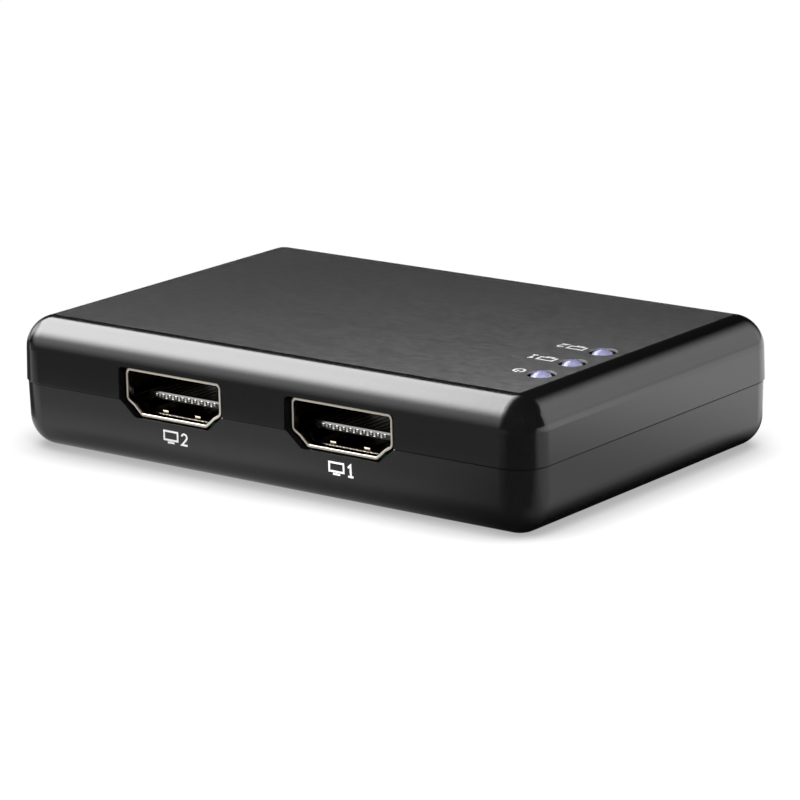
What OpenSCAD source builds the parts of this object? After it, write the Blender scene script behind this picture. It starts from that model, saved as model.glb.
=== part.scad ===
// Two-way HDMI splitter: a two-part moulded case, one input and two outputs, three lamps.
// Millimetres. X runs along the long front face, Y from front to back, Z up.
// The origin is on the resting surface, under the middle of the case.

/* [Case] */
// Width of the upper cover at the seam
case_w = 77.6; // [74:0.2:88]
// Depth of the upper cover at the seam, front to back
case_d = 52.4; // [50:0.2:60]
// Height of the case
case_h = 16.4; // [15.6:0.1:19]
// Height of the seam between the covers
seam_z = 8.4; // [8:0.1:9]
// Wall thickness of both covers
wall = 1.8; // [1.5:0.1:2]
// Lean of the walls away from the seam, in degrees
draft = 1.4; // [0.6:0.1:2]
// Radius that rounds the edges and the corners of the case
edge_r = 4; // [3:0.1:4.2]
// How far the lower cover stands back from the upper one at the seam
seam_step = 0.12; // [0.04:0.02:0.2]
// Chamfer on both edges of the seam
seam_chamfer = 0.1; // [0.05:0.01:0.2]
// Height of the lip that locates the covers
lip_h = 1.2; // [0.8:0.1:1.6]
// Thickness of the lip
lip_t = 0.8; // [0.6:0.05:0.9]
// Clearance round the lip
lip_gap = 0.1; // [0.05:0.01:0.2]

/* [Ports] */
// How far the socket mouths lie behind the case face
recess = 0.7; // [0.4:0.05:1.2]
// Side clearance between a cut-out and its socket
port_side_gap = 0.7; // [0.4:0.05:1]
// Clearance above and below a socket
port_gap = 0.45; // [0.25:0.05:0.45]
// Corner radius of a cut-out
port_corner_r = 0.6; // [0.3:0.05:0.8]
// Centre of output socket 1 across the case
output_1_x = 11.9; // [9:0.1:14]
// Centre of output socket 2 across the case
output_2_x = -13.6; // [-16:0.1:-11]
// Centre of the input socket across the case
input_x = 6; // [0:0.5:12]
// Centre of the power socket across the case
power_x = -18; // [-21:0.5:-14]

/* [HDMI sockets] */
// Width of the opening
socket_w = 14; // [13.9:0.05:14.2]
// Height of the opening
socket_h = 4.55; // [4.5:0.05:4.7]
// Height of the upright part of each side
socket_side_h = 3.1; // [2.9:0.1:3.3]
// Width of the flat floor
socket_floor_w = 9.8; // [9.4:0.1:10.4]
// How far the shoulder runs in from the side
shoulder_in = 0.95; // [0.7:0.05:1.2]
// How far the shoulder drops below the side
shoulder_drop = 0.5; // [0.3:0.05:0.7]
// Corner radius inside the opening
socket_corner_r = 0.4; // [0.2:0.05:0.5]
// Sheet thickness of the shells
sheet_t = 0.3; // [0.25:0.05:0.4]
// Length of a shell, mouth to back
socket_l = 11.5; // [11:0.1:12.5]
// Width of the tongue
tongue_w = 11; // [10.4:0.1:11.4]
// Thickness of the tongue
tongue_t = 0.9; // [0.8:0.05:1.1]
// Height of the tongue's underside above the board
tongue_z = 1.45; // [1.35:0.05:1.6]
// How far the tongue's tip lies behind the mouth
tongue_tip = 2.7; // [2.4:0.1:3.2]
// How far the insulator block lies behind the mouth
block_y = 7.5; // [7:0.1:8.5]
// Length of the insulator block
block_l = 3.7; // [2.4:0.1:4]
// Pitch of the contacts, upper and lower rows taken together
contact_pitch = 0.5; // [0.48:0.01:0.52]
// Width of a contact
contact_w = 0.3; // [0.25:0.01:0.34]
// Thickness of a contact
contact_t = 0.15; // [0.1:0.01:0.2]
// Length of a contact's bent tip
contact_tip = 0.6; // [0.4:0.05:0.7]
// Length of a contact's solder foot
contact_foot = 0.8; // [0.5:0.1:1]
// Width of a shell leg
leg_w = 1.4; // [1:0.1:1.8]
// Distance of the front legs behind the mouth
leg_front_y = 3.8; // [3.4:0.1:4.4]
// Distance of the back legs behind the mouth
leg_back_y = 9.4; // [9:0.1:9.8]
// Length of a leg below the board
leg_below = 0.8; // [0.4:0.1:1.2]

/* [Power socket] */
// Width of the opening
power_w = 6.9; // [6.8:0.05:7.2]
// Height of the opening
power_h = 1.85; // [1.8:0.05:2]
// Height of the upright part of each side
power_side_h = 1.1; // [0.9:0.05:1.3]
// Width of the flat floor
power_floor_w = 5.3; // [5:0.1:5.6]
// Length of the shell
power_l = 5.2; // [5:0.1:6]
// Width of the tongue
power_tongue_w = 3.6; // [3.4:0.1:4]
// Thickness of the tongue
power_tongue_t = 0.55; // [0.4:0.05:0.7]
// Clearance above the tongue
power_tongue_gap = 0.35; // [0.3:0.05:0.5]
// How far the tongue's tip lies behind the mouth
power_tongue_tip = 0.9; // [0.7:0.1:1.4]
// Length of the insulator block
power_block_l = 1.6; // [1.2:0.1:2]
// Pitch of the contacts
power_contact_pitch = 0.65; // [0.6:0.01:0.68]
// Width of a contact
power_contact_w = 0.35; // [0.3:0.01:0.4]
// Thickness of a contact
power_contact_t = 0.1; // [0.08:0.01:0.12]
// Length of a contact's solder foot
power_contact_foot = 0.6; // [0.4:0.1:0.8]

/* [Board] */
// Thickness of the circuit board
board_t = 1.6; // [1.2:0.1:1.7]
// Height of the board's underside
board_z = 5.25; // [5.1:0.05:5.4]
// Clearance between the board and the walls
board_gap = 0.45; // [0.35:0.05:0.8]
// Corner radius of the board
board_corner_r = 2; // [1:0.1:2.4]
// Clearance round legs and leads in the board
hole_gap = 0.2; // [0.15:0.05:0.3]

/* [Screws] */
// Distance of the screws from the case sides
screw_inset = 6.2; // [5.8:0.1:7.2]
// Thread diameter
screw_d = 2.2; // [2:0.1:2.4]
// Length under the head
screw_l = 8; // [6.5:0.5:9]
// Head diameter
head_d = 4; // [3.6:0.1:4.2]
// Head height
head_h = 1.5; // [1.2:0.1:1.7]
// Depth of the recess that takes a head
head_recess = 2.2; // [2:0.1:2.6]
// Clearance round the heads
head_gap = 0.3; // [0.2:0.05:0.4]
// Clearance round the shanks
shank_gap = 0.2; // [0.15:0.05:0.3]
// Clearance of the thread in its boss
thread_gap = 0.04; // [0.02:0.01:0.06]
// Diameter of the bosses in the upper cover
boss_d = 5.4; // [4.6:0.1:5.8]
// Diameter of the posts in the lower cover
post_d = 6.8; // [6.4:0.1:7]

/* [Ribs] */
// Thickness of the ribs and webs
rib_t = 1; // [0.8:0.1:1.4]
// Clearance between the ribs and the sockets they hold down
rib_gap = 0.1; // [0.05:0.05:0.2]
// Half the spacing of the two ribs over a socket
rib_x = 4; // [2.5:0.1:5]
// Diameter of the plain posts under the board
prop_d = 4; // [3:0.1:5]

/* [Lamps] */
// Diameter of a lamp
led_d = 3; // [2.8:0.1:3.2]
// Height of a lamp, flange to tip
led_h = 5.3; // [5:0.1:6]
// Radius of a lamp's domed tip
led_dome_r = 1.55; // [1.5:0.05:3]
// Diameter of the flange
led_flange_d = 3.8; // [3.6:0.1:4]
// Height of the flange
led_flange_h = 1; // [0.8:0.1:1.2]
// Clearance between a lamp and its hole
led_gap = 0.15; // [0.1:0.05:0.3]
// Chamfer round a lamp hole
led_chamfer = 0.15; // [0.05:0.05:0.3]
// How far a lamp's tip stands above the top face
led_proud = 0.4; // [0.05:0.05:0.6]
// Distance of the lamps from the right side
led_inset = 6.7; // [5.5:0.1:8]
// Distance of the first lamp from the front
led_first = 12.1; // [11.9:0.1:13]
// Spacing of the lamps
led_pitch = 6.2; // [5.6:0.1:7]
// Wall of the collar round each lamp
collar_t = 0.9; // [0.6:0.1:1]
// Length of the collar below the roof
collar_l = 1.8; // [1:0.1:2]
// Pitch of a lamp's two leads
lead_pitch = 2.54; // [2.4:0.02:2.6]
// Thickness of a lead
lead_t = 0.5; // [0.4:0.05:0.55]
// Length of the leads below the board
lead_below = 1; // [0.6:0.1:1.4]

/* [Board parts] */
// Side of the splitter chip
chip_w = 10; // [9:0.1:11]
// Height of the splitter chip
chip_h = 1.4; // [1:0.1:1.6]
// Gap under the splitter chip
chip_lift = 0.1; // [0.05:0.05:0.2]
// Leads on each side of the chip
chip_leads = 16; // [12:1:16]
// Pitch of the chip's leads
chip_pitch = 0.5; // [0.45:0.01:0.52]
// Width of a chip lead
chip_lead_w = 0.22; // [0.18:0.01:0.24]
// Thickness of a chip lead
chip_lead_t = 0.13; // [0.1:0.01:0.16]
// Reach of a chip lead from the body
chip_lead_l = 1; // [0.8:0.05:1.2]
// Corner radius of the chip
chip_corner_r = 0.3; // [0.1:0.1:0.5]
// Diameter of the dimple that marks the chip's first lead
dimple_d = 1; // [0.6:0.1:1.2]
// Depth of the dimple
dimple_depth = 0.1; // [0.05:0.05:0.2]
// Distance of the dimple from the chip's sides
dimple_inset = 1.2; // [1:0.1:1.6]
// Centre of the chip across the board
chip_x = -2; // [-4:0.1:0]
// Length of the crystal
crystal_l = 11; // [10:0.1:12]
// Width of the crystal
crystal_w = 4.6; // [4.2:0.1:5]
// Height of the crystal
crystal_h = 3.5; // [3:0.1:4]
// Corner radius of the crystal
crystal_r = 2; // [1.6:0.05:2.05]
// Rim of the crystal's base plate
crystal_rim = 0.3; // [0.2:0.05:0.5]
// Height of the crystal's base plate
crystal_base_h = 0.7; // [0.5:0.1:1]
// Gap between the chip's leads and the crystal
crystal_gap = 5.3; // [4.6:0.1:5.6]
// Width of the voltage regulator
regulator_w = 6.5; // [6:0.1:6.7]
// Depth of the voltage regulator
regulator_d = 3.5; // [3.2:0.1:3.8]
// Height of the voltage regulator
regulator_h = 1.6; // [1.4:0.1:1.8]
// Centre of the regulator from front to back
regulator_y = 2; // [1.6:0.1:3]
// Pitch of the regulator's leads
regulator_pitch = 2.3; // [2.2:0.05:2.4]
// Width of a regulator lead
regulator_lead_w = 0.7; // [0.6:0.05:0.8]
// Length of a regulator lead
regulator_lead_l = 1.5; // [1.2:0.1:1.8]
// Thickness of the regulator's leads and tab
regulator_lead_t = 0.4; // [0.3:0.05:0.5]
// Width of the regulator's cooling tab
regulator_tab_w = 3; // [2.8:0.1:3.2]
// Length of the regulator's cooling tab
regulator_tab_l = 1.7; // [1.4:0.1:2]
// Side of the power inductor
inductor_w = 5; // [4.6:0.1:5.4]
// Height of the power inductor
inductor_h = 2.8; // [2:0.1:3.2]
// Corner radius of the power inductor
inductor_r = 1; // [0.5:0.1:1.5]
// Diameter of a bulk capacitor
bulk_d = 5; // [4.6:0.1:5.4]
// Height of a bulk capacitor
bulk_h = 5.4; // [4.5:0.1:6]
// Rim of a bulk capacitor's base
bulk_rim = 0.15; // [0.1:0.05:0.25]
// Height of a bulk capacitor's base
bulk_base_h = 0.8; // [0.6:0.1:1.2]
// Spacing of the bulk capacitors
bulk_pitch = 7; // [6.5:0.1:9]
// Length of the memory chip
memory_l = 4.9; // [4.7:0.1:5]
// Width of the memory chip
memory_w = 3.9; // [3.7:0.1:4]
// Height of the memory chip
memory_h = 1.5; // [1.3:0.1:1.6]
// Pitch of the memory chip's leads
memory_pitch = 1.27; // [1.2:0.01:1.3]
// Width of a memory chip lead
memory_lead_w = 0.4; // [0.3:0.05:0.5]
// Length of a memory chip lead
memory_lead_l = 1; // [0.8:0.1:1]
// Thickness of a memory chip lead
memory_lead_t = 0.25; // [0.2:0.05:0.3]
// Distance of the memory chip's centre behind the socket's contacts
memory_y = 7.5; // [7.3:0.1:8]
// Length of a surge array
surge_l = 2.5; // [2:0.1:2.8]
// Width of a surge array
surge_w = 1; // [0.8:0.1:1.2]
// Height of a surge array
surge_h = 0.55; // [0.45:0.05:0.65]
// Half the spacing of the two surge arrays behind a socket
surge_x = 3; // [2:0.1:4]
// Distance of the surge arrays behind the contacts
surge_y = 0.8; // [0.5:0.1:1]
// Length of a chip capacitor or resistor
small_l = 1.6; // [1.4:0.1:1.8]
// Width of a chip capacitor or resistor, and height of a capacitor
small_w = 0.8; // [0.7:0.05:0.9]
// Height of a chip resistor
resistor_h = 0.4; // [0.3:0.05:0.5]
// Spacing of the resistors
resistor_pitch = 1.6; // [1.4:0.1:1.8]
// Distance of the resistors behind the contacts
resistor_y = 3.2; // [3.1:0.1:3.4]
// Spacing of the chip capacitors
ceramic_pitch = 2.2; // [1.4:0.1:2.4]
// Distance of the chip capacitors from the chip's leads
ceramic_y = 1.6; // [1.2:0.1:1.7]

/* [Hidden] */
$fn = 48;
// Overlap of pieces that are fused, and overrun of cutters
fuse = 0.5;
// Clearance of an insulator in its shell
fit = 0.05;
// Contacts of the two kinds of socket, fixed by their standards
contact_count = 19;
power_contact_count = 5;
board_top = board_z + board_t;
roof_z = case_h - wall;
room_w = case_w - 2 * wall;
room_d = case_d - 2 * wall;
corner_r = ball_corner(case_h - seam_z);
room_r = corner_r - wall;
room_edge_r = max(edge_r - wall, 0.5);
front_y = -case_d / 2;
back_y = case_d / 2;
mouth_front = front_y + recess;
mouth_back = back_y - recess;
board_w = room_w - 2 * board_gap;
board_d = room_d - 2 * board_gap;
shell_h = socket_h + 2 * sheet_t;
power_shell_h = power_h + 2 * sheet_t;
power_tongue_z = sheet_t + power_h - power_tongue_t - power_tongue_gap;
block_end = block_y + block_l;
contact_end = block_end + contact_t + contact_foot;
screw_x = case_w / 2 - screw_inset;
screw_y = case_d / 2 - screw_inset;
SCREWS = [for (x = [-1, 1], y = [-1, 1]) [x * screw_x, y * screw_y]];
led_x = case_w / 2 - led_inset;
led_tip = case_h + led_proud;
led_base = led_tip - led_h;
function led_y(i) = front_y + led_first + i * led_pitch;
// Distance of the HDMI contacts' feet from the case face
behind_socket = recess + contact_end;

CASE = "#1d1d1f";
PLATED = "#cfc5b0";
INSULATOR = "#141414";
CONTACT = "#d9b96a";
BOARD = "#1f5a38";
PACKAGE = "#232326";
TINNED = "#c9ccd0";
LENS = "#8f8fd8";

// Outlines

function unit(v) = v / norm(v);
function outward(a, b) = unit([b.y - a.y, a.x - b.x]);
function turn(a, b, c) = (b.x - a.x) * (c.y - b.y) - (b.y - a.y) * (c.x - b.x);

// An anticlockwise outline with every edge moved outwards by t
function grown(pts, t) = [for (i = [0:len(pts) - 1])
  let (n = len(pts), q = pts[i])
  let (before = outward(pts[(i + n - 1) % n], q), after = outward(q, pts[(i + 1) % n]))
  q + t * (before + after) / (1 + before * after)];

// An anticlockwise outline whose corners are rounded by true arcs, where a radius is given
module rounded(pts, radii) {
  n = len(pts);
  corners = [for (i = [0:n - 1])
    let (p = pts[(i + n - 1) % n], q = pts[i], s = pts[(i + 1) % n], r = radii[i])
    let (u = unit(p - q), v = unit(s - q), half = acos(u * v) / 2)
    [q + u * r / tan(half), q + v * r / tan(half), q + unit(u + v) * r / sin(half), r, turn(p, q, s)]];
  difference() {
    union() {
      polygon([for (c = corners) each (c[3] > 0 ? [c[0], c[1]] : [c[0]])]);
      for (c = corners) if (c[3] > 0 && c[4] > 0) translate(c[2]) circle(r = c[3]);
    }
    for (c = corners) if (c[3] > 0 && c[4] < 0) translate(c[2]) circle(r = c[3]);
  }
}

module rounded_rectangle(w, d, r) {
  rounded([[-w / 2, -d / 2], [w / 2, -d / 2], [w / 2, d / 2], [-w / 2, d / 2]], [r, r, r, r]);
}

// The mouth of a socket: upright sides, a shoulder, then a slope in to a narrower floor
function mouth(w, h, side, floor_w, inset, drop) = [
  [-floor_w / 2, 0], [floor_w / 2, 0], [w / 2 - inset, h - side - drop], [w / 2, h - side], [w / 2, h],
  [-w / 2, h], [-w / 2, h - side], [-w / 2 + inset, h - side - drop]];

HDMI_MOUTH = mouth(socket_w, socket_h, socket_side_h, socket_floor_w, shoulder_in, shoulder_drop);
HDMI_TURNS = [1, 1, -1, 1, 1, 1, 1, -1];
POWER_MOUTH = [[-power_floor_w / 2, 0], [power_floor_w / 2, 0], [power_w / 2, power_h - power_side_h],
  [power_w / 2, power_h], [-power_w / 2, power_h], [-power_w / 2, power_h - power_side_h]];
POWER_TURNS = [1, 1, 1, 1, 1, 1];

// A mouth grown by t, with its inner and outer corner radii kept parallel
module mouth_outline(pts, turns, t) {
  rounded(grown(pts, t), [for (s = turns) socket_corner_r + s * t]);
}

// Case

// How far a wall has leaned in at a height above the seam
function lean(h) = h * tan(draft);

// Plan radius at the seam for which a cover of this height ends in a ball corner of the edge radius
function ball_corner(h) = ceil(1000 * (edge_r + (h - edge_r) * sin(draft)) / cos(draft)) / 1000;

// Section of a cover's rim, outwards from the axis of its corner arcs
module rim_outline(h) {
  reach = ball_corner(h);
  centre = h - edge_r;
  polygon([[0, 0], [reach - seam_chamfer, 0], [reach - lean(seam_chamfer), seam_chamfer],
    [edge_r * cos(draft), centre + edge_r * sin(draft)], [0, centre]]);
  translate([0, centre]) intersection() {
    circle(r = edge_r);
    square(edge_r);
  }
}

// A block with leaning walls, rolled upper edges and ball corners
module rolled_block(w, d, h) {
  half_x = w / 2 - ball_corner(h);
  half_y = d / 2 - ball_corner(h);
  translate([-half_x, -half_y, 0]) cube([2 * half_x, 2 * half_y, h]);
  for (side = [0, 180]) rotate([0, 0, side]) {
    translate([half_x, 0, 0]) rotate([90, 0, 0]) linear_extrude(2 * half_y, center = true) rim_outline(h);
    translate([0, half_y, 0]) rotate([90, 0, 90]) linear_extrude(2 * half_x, center = true) rim_outline(h);
    translate([half_x, half_y, 0]) rotate_extrude(angle = 90) rim_outline(h);
    translate([-half_x, half_y, 0]) rotate([0, 0, 90]) rotate_extrude(angle = 90) rim_outline(h);
  }
}

// The hollow inside a cover, which runs a little past the seam
module room(h) {
  intersection() {
    rotate([90, 0, 0]) linear_extrude(2 * room_d, center = true) room_outline(room_w, h);
    rotate([90, 0, 90]) linear_extrude(2 * room_w, center = true) room_outline(room_d, h);
    translate([0, 0, -fuse]) linear_extrude(h + 2 * fuse)
      rounded_rectangle(room_w, room_d, room_r);
  }
}

module room_outline(span, h) {
  half = span / 2;
  rounded([[-half, -fuse], [half, -fuse], [half, 0], [half - lean(h), h], [lean(h) - half, h], [-half, 0]],
    [0, 0, 0, room_edge_r, room_edge_r, 0]);
}

module at_screws() for (s = SCREWS) translate([s.x, s.y, 0]) children();
module at_leds() for (i = [0:2]) translate([led_x, led_y(i), 0]) children();

// Places a piece, drawn with its mouth at y = 0 facing -Y, at the front or the back of the case
module at_front(x) translate([x, mouth_front, board_top]) children();
module at_back(x) translate([x, mouth_back, board_top]) rotate([0, 0, 180]) children();

module at_hdmi_sockets() {
  at_front(output_1_x) children();
  at_front(output_2_x) children();
  at_back(input_x) children();
}

// A cut-out through the wall, straight down to the seam and sloping in below it
module port_cutter(half, floor_half, h) {
  side = half + sheet_t + port_side_gap;
  base = floor_half + sheet_t + port_gap;
  seam = seam_z - board_top;
  top = h + port_gap;
  translate([0, wall + lip_gap + fuse - recess, 0])
    rotate([90, 0, 0]) linear_extrude(wall + lip_gap + 2 * fuse)
      rounded([[-base, -port_gap], [base, -port_gap], [side, seam], [side, top], [-side, top],
        [-side, seam]], [port_corner_r, port_corner_r, 0, port_corner_r, port_corner_r, 0]);
}

module port_cutters() {
  at_hdmi_sockets() port_cutter(socket_w / 2, socket_floor_w / 2, shell_h);
  at_back(power_x) port_cutter(power_w / 2, power_floor_w / 2, power_shell_h);
}

// The ring between two rounded rectangles, in from the seam's outer edge
module lip_ring(inner, outer, h) {
  linear_extrude(h) difference() {
    rounded_rectangle(case_w - 2 * outer, case_d - 2 * outer, corner_r - outer);
    rounded_rectangle(case_w - 2 * inner, case_d - 2 * inner, corner_r - inner);
  }
}

// Screw bosses that clamp the board, each tied to the two nearest walls
module upper_bosses() {
  at_screws() translate([0, 0, board_top]) cylinder(d = boss_d, h = roof_z - board_top + fuse);
  web_z = seam_z + lip_h + 2 * lip_gap;
  for (s = SCREWS) {
    long_x = room_w / 2 - abs(s.x) - boss_d / 2 + fuse;
    long_y = room_d / 2 - abs(s.y) - boss_d / 2 + fuse;
    middle_x = sign(s.x) * (abs(s.x) + boss_d / 2 + long_x / 2 - fuse / 2);
    middle_y = sign(s.y) * (abs(s.y) + boss_d / 2 + long_y / 2 - fuse / 2);
    h = roof_z - web_z + fuse;
    translate([middle_x, s.y, web_z + h / 2]) cube([long_x + fuse, rib_t, h], center = true);
    translate([s.x, middle_y, web_z + h / 2]) cube([rib_t, long_y + fuse, h], center = true);
  }
}

// Pairs of ribs that keep the sockets down when a plug is pulled
module hold_down_ribs() {
  low = shell_h + rib_gap;
  start = wall + 2 * lip_gap + lip_t - recess;
  at_hdmi_sockets() for (x = [-rib_x, rib_x])
    translate([x - rib_t / 2, start, low]) cube([rib_t, block_y - start, roof_z + fuse - board_top - low]);
}

module led_collars() {
  at_leds() translate([0, 0, roof_z - collar_l])
    cylinder(d = led_d + 2 * led_gap + 2 * collar_t, h = collar_l + fuse);
}

// Lamp holes run through the collars and are chamfered at the top face
module led_holes() {
  r = led_d / 2 + led_gap;
  low = roof_z - collar_l - fuse;
  at_leds() rotate_extrude() polygon([[0, low], [r, low], [r, case_h - led_chamfer],
    [r + 2 * led_chamfer, case_h + led_chamfer], [0, case_h + led_chamfer]]);
}

module upper_cover() {
  color(CASE) difference() {
    union() {
      translate([0, 0, seam_z]) difference() {
        rolled_block(case_w, case_d, case_h - seam_z);
        room(roof_z - seam_z);
        translate([0, 0, -fuse]) lip_ring(wall + fuse, wall - lip_t - lip_gap, lip_h + lip_gap + fuse);
      }
      upper_bosses();
      hold_down_ribs();
      led_collars();
    }
    port_cutters();
    led_holes();
    at_screws() translate([0, 0, board_top - fuse])
      cylinder(d = screw_d + 2 * thread_gap, h = head_recess + screw_l + fuse - board_top + 2 * fuse);
  }
}

// Posts that carry the board at its screws
module lower_posts() {
  at_screws() translate([0, 0, wall - fuse]) cylinder(d = post_d, h = board_z - wall + fuse);
  for (x = [output_1_x, output_2_x]) translate([x, front_y + behind_socket - contact_foot, wall - fuse])
    cylinder(d = prop_d, h = board_z - wall + fuse);
  translate([input_x, back_y - behind_socket + contact_foot, wall - fuse])
    cylinder(d = prop_d, h = board_z - wall + fuse);
}

module lower_cover() {
  color(CASE) difference() {
    union() {
      translate([0, 0, seam_z]) mirror([0, 0, 1]) difference() {
        rolled_block(case_w - 2 * seam_step, case_d - 2 * seam_step, seam_z);
        room(seam_z - wall);
      }
      translate([0, 0, seam_z - fuse]) lip_ring(wall, wall - lip_t, lip_h + fuse);
      lower_posts();
    }
    port_cutters();
    at_screws() {
      translate([0, 0, -fuse]) cylinder(d = head_d + 2 * head_gap, h = head_recess + fuse);
      translate([0, 0, -fuse]) cylinder(d = screw_d + 2 * shank_gap, h = board_z + 2 * fuse);
    }
  }
}

// Self-tapping screw: a domed head with a cross recess, a plain shank and a blunt point
module screw() {
  dome = head_h / 3;
  point = screw_d / 2;
  difference() {
    rotate_extrude() polygon([[0, -head_h], [head_d / 2 - dome, -head_h], [head_d / 2, dome - head_h],
      [head_d / 2, 0], [screw_d / 2, 0], [screw_d / 2, screw_l - point], [screw_d / 4, screw_l],
      [0, screw_l]]);
    for (turned = [0, 90]) rotate([0, 0, turned])
      translate([-head_d / 4, -head_d / 16, -head_h - fuse])
        cube([head_d / 2, head_d / 8, head_h / 2 + fuse]);
  }
}

module case_screws() color("#8c8f93") at_screws() translate([0, 0, head_recess]) screw();

// Board

module socket_leg_slots() {
  slot = [sheet_t + 2 * hole_gap, leg_w + 2 * hole_gap];
  for (x = [-1, 1], y = [leg_front_y, leg_back_y])
    translate([x * (socket_w + sheet_t) / 2, y]) square(slot, center = true);
}

module circuit_board() {
  color(BOARD) translate([0, 0, board_z]) linear_extrude(board_t) difference() {
    rounded_rectangle(board_w, board_d, board_corner_r);
    at_screws() circle(d = screw_d + 2 * shank_gap);
    at_leds() for (x = [-1, 1]) translate([x * lead_pitch / 2, 0]) circle(d = lead_t * sqrt(2) + hole_gap);
    for (x = [output_1_x, output_2_x]) translate([x, mouth_front]) socket_leg_slots();
    translate([input_x, mouth_back]) rotate(180) socket_leg_slots();
  }
}

// HDMI sockets, drawn with the mouth at y = 0 and the board's top at z = 0

// Sweeps an outline in X and Z back from a distance behind the mouth
module swept_back(start, length) {
  translate([0, start + length, 0]) rotate([90, 0, 0]) linear_extrude(length) children();
}

module hdmi_shell() {
  side_foot = sheet_t + socket_h - socket_side_h;
  color(PLATED) {
    swept_back(0, socket_l) translate([0, sheet_t]) difference() {
      mouth_outline(HDMI_MOUTH, HDMI_TURNS, sheet_t);
      mouth_outline(HDMI_MOUTH, HDMI_TURNS, 0);
    }
    for (x = [-1, 1], y = [leg_front_y, leg_back_y])
      translate([x * (socket_w + sheet_t) / 2, y, (side_foot + fuse - board_t - leg_below) / 2])
        cube([sheet_t, leg_w, side_foot + fuse + board_t + leg_below], center = true);
  }
}

// One contact's section: bent tip, strip along the tongue, drop behind the block and solder foot
module contact_section(upper) {
  level = upper ? tongue_z + tongue_t : tongue_z - contact_t;
  tip_low = upper ? level - contact_tip : level;
  translate([tongue_tip - contact_t, tip_low]) square([contact_t, contact_tip + contact_t]);
  translate([tongue_tip - contact_t, level]) square([block_end - tongue_tip + 2 * contact_t, contact_t]);
  translate([block_end, 0]) square([contact_t, level + contact_t]);
  translate([block_end, 0]) square([contact_t + contact_foot, contact_t]);
}

module hdmi_contacts() {
  color(CONTACT) for (i = [0:contact_count - 1])
    translate([(i - (contact_count - 1) / 2) * contact_pitch - contact_w / 2, 0, 0])
      rotate([90, 0, 90]) linear_extrude(contact_w) contact_section(i % 2 == 0);
}

module hdmi_insulator() {
  color(INSULATOR) difference() {
    union() {
      swept_back(block_y, block_l) translate([0, sheet_t]) mouth_outline(HDMI_MOUTH, HDMI_TURNS, -fit);
      translate([-tongue_w / 2, tongue_tip, tongue_z])
        cube([tongue_w, block_y - tongue_tip + fuse, tongue_t]);
    }
    hdmi_contacts();
  }
}

module hdmi_output_1_shell() at_front(output_1_x) hdmi_shell();
module hdmi_output_1_insulator() at_front(output_1_x) hdmi_insulator();
module hdmi_output_1_contacts() at_front(output_1_x) hdmi_contacts();
module hdmi_output_2_shell() at_front(output_2_x) hdmi_shell();
module hdmi_output_2_insulator() at_front(output_2_x) hdmi_insulator();
module hdmi_output_2_contacts() at_front(output_2_x) hdmi_contacts();
module hdmi_input_shell() at_back(input_x) hdmi_shell();
module hdmi_input_insulator() at_back(input_x) hdmi_insulator();
module hdmi_input_contacts() at_back(input_x) hdmi_contacts();

// Power socket

module power_socket_shell() {
  color(PLATED) at_back(power_x) swept_back(0, power_l) translate([0, sheet_t]) difference() {
    mouth_outline(POWER_MOUTH, POWER_TURNS, sheet_t);
    mouth_outline(POWER_MOUTH, POWER_TURNS, 0);
  }
}

// Five contacts lie under the tongue and drop behind the block
module power_contacts() {
  level = power_tongue_z - power_contact_t;
  for (i = [0:power_contact_count - 1])
    translate([(i - (power_contact_count - 1) / 2) * power_contact_pitch - power_contact_w / 2, 0, 0])
      rotate([90, 0, 90]) linear_extrude(power_contact_w) {
        translate([power_tongue_tip, level])
          square([power_l - power_tongue_tip + power_contact_t, power_contact_t]);
        translate([power_l, 0]) square([power_contact_t, level + power_contact_t]);
        translate([power_l, 0]) square([power_contact_t + power_contact_foot, power_contact_t]);
      }
}

module power_socket_contacts() color(CONTACT) at_back(power_x) power_contacts();

module power_socket_insulator() {
  color(INSULATOR) at_back(power_x) difference() {
    union() {
      swept_back(power_l - power_block_l, power_block_l) translate([0, sheet_t])
        mouth_outline(POWER_MOUTH, POWER_TURNS, -fit);
      translate([-power_tongue_w / 2, power_tongue_tip, power_tongue_z])
        cube([power_tongue_w, power_l - power_block_l - power_tongue_tip + fuse, power_tongue_t]);
    }
    power_contacts();
  }
}

// Lamps

// Clear lamp body: flange, barrel and domed tip
module led_body() {
  color(LENS) rotate_extrude() {
    square([led_flange_d / 2, led_flange_h]);
    square([led_d / 2, led_h - led_dome_r]);
    intersection() {
      square([led_d / 2, led_h]);
      translate([0, led_h - led_dome_r]) circle(r = led_dome_r);
    }
  }
}

module led(i) translate([led_x, led_y(i), led_base]) led_body();
module power_led() led(0);
module output_1_led() led(1);
module output_2_led() led(2);

module led_leads() {
  low = board_z - lead_below;
  color(TINNED) at_leds() for (x = [-1, 1])
    translate([x * lead_pitch / 2 - lead_t / 2, -lead_t / 2, low]) cube([lead_t, lead_t, led_base - low]);
}

// Board parts

module on_board(x, y) translate([x, y, board_top]) children();

module splitter_chip() {
  dimple = chip_w / 2 - dimple_inset;
  color(PACKAGE) on_board(chip_x, 0) translate([0, 0, chip_lift]) difference() {
    linear_extrude(chip_h) rounded_rectangle(chip_w, chip_w, chip_corner_r);
    translate([-dimple, dimple, chip_h - dimple_depth]) cylinder(d = dimple_d, h = dimple_depth + fuse);
  }
}

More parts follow.
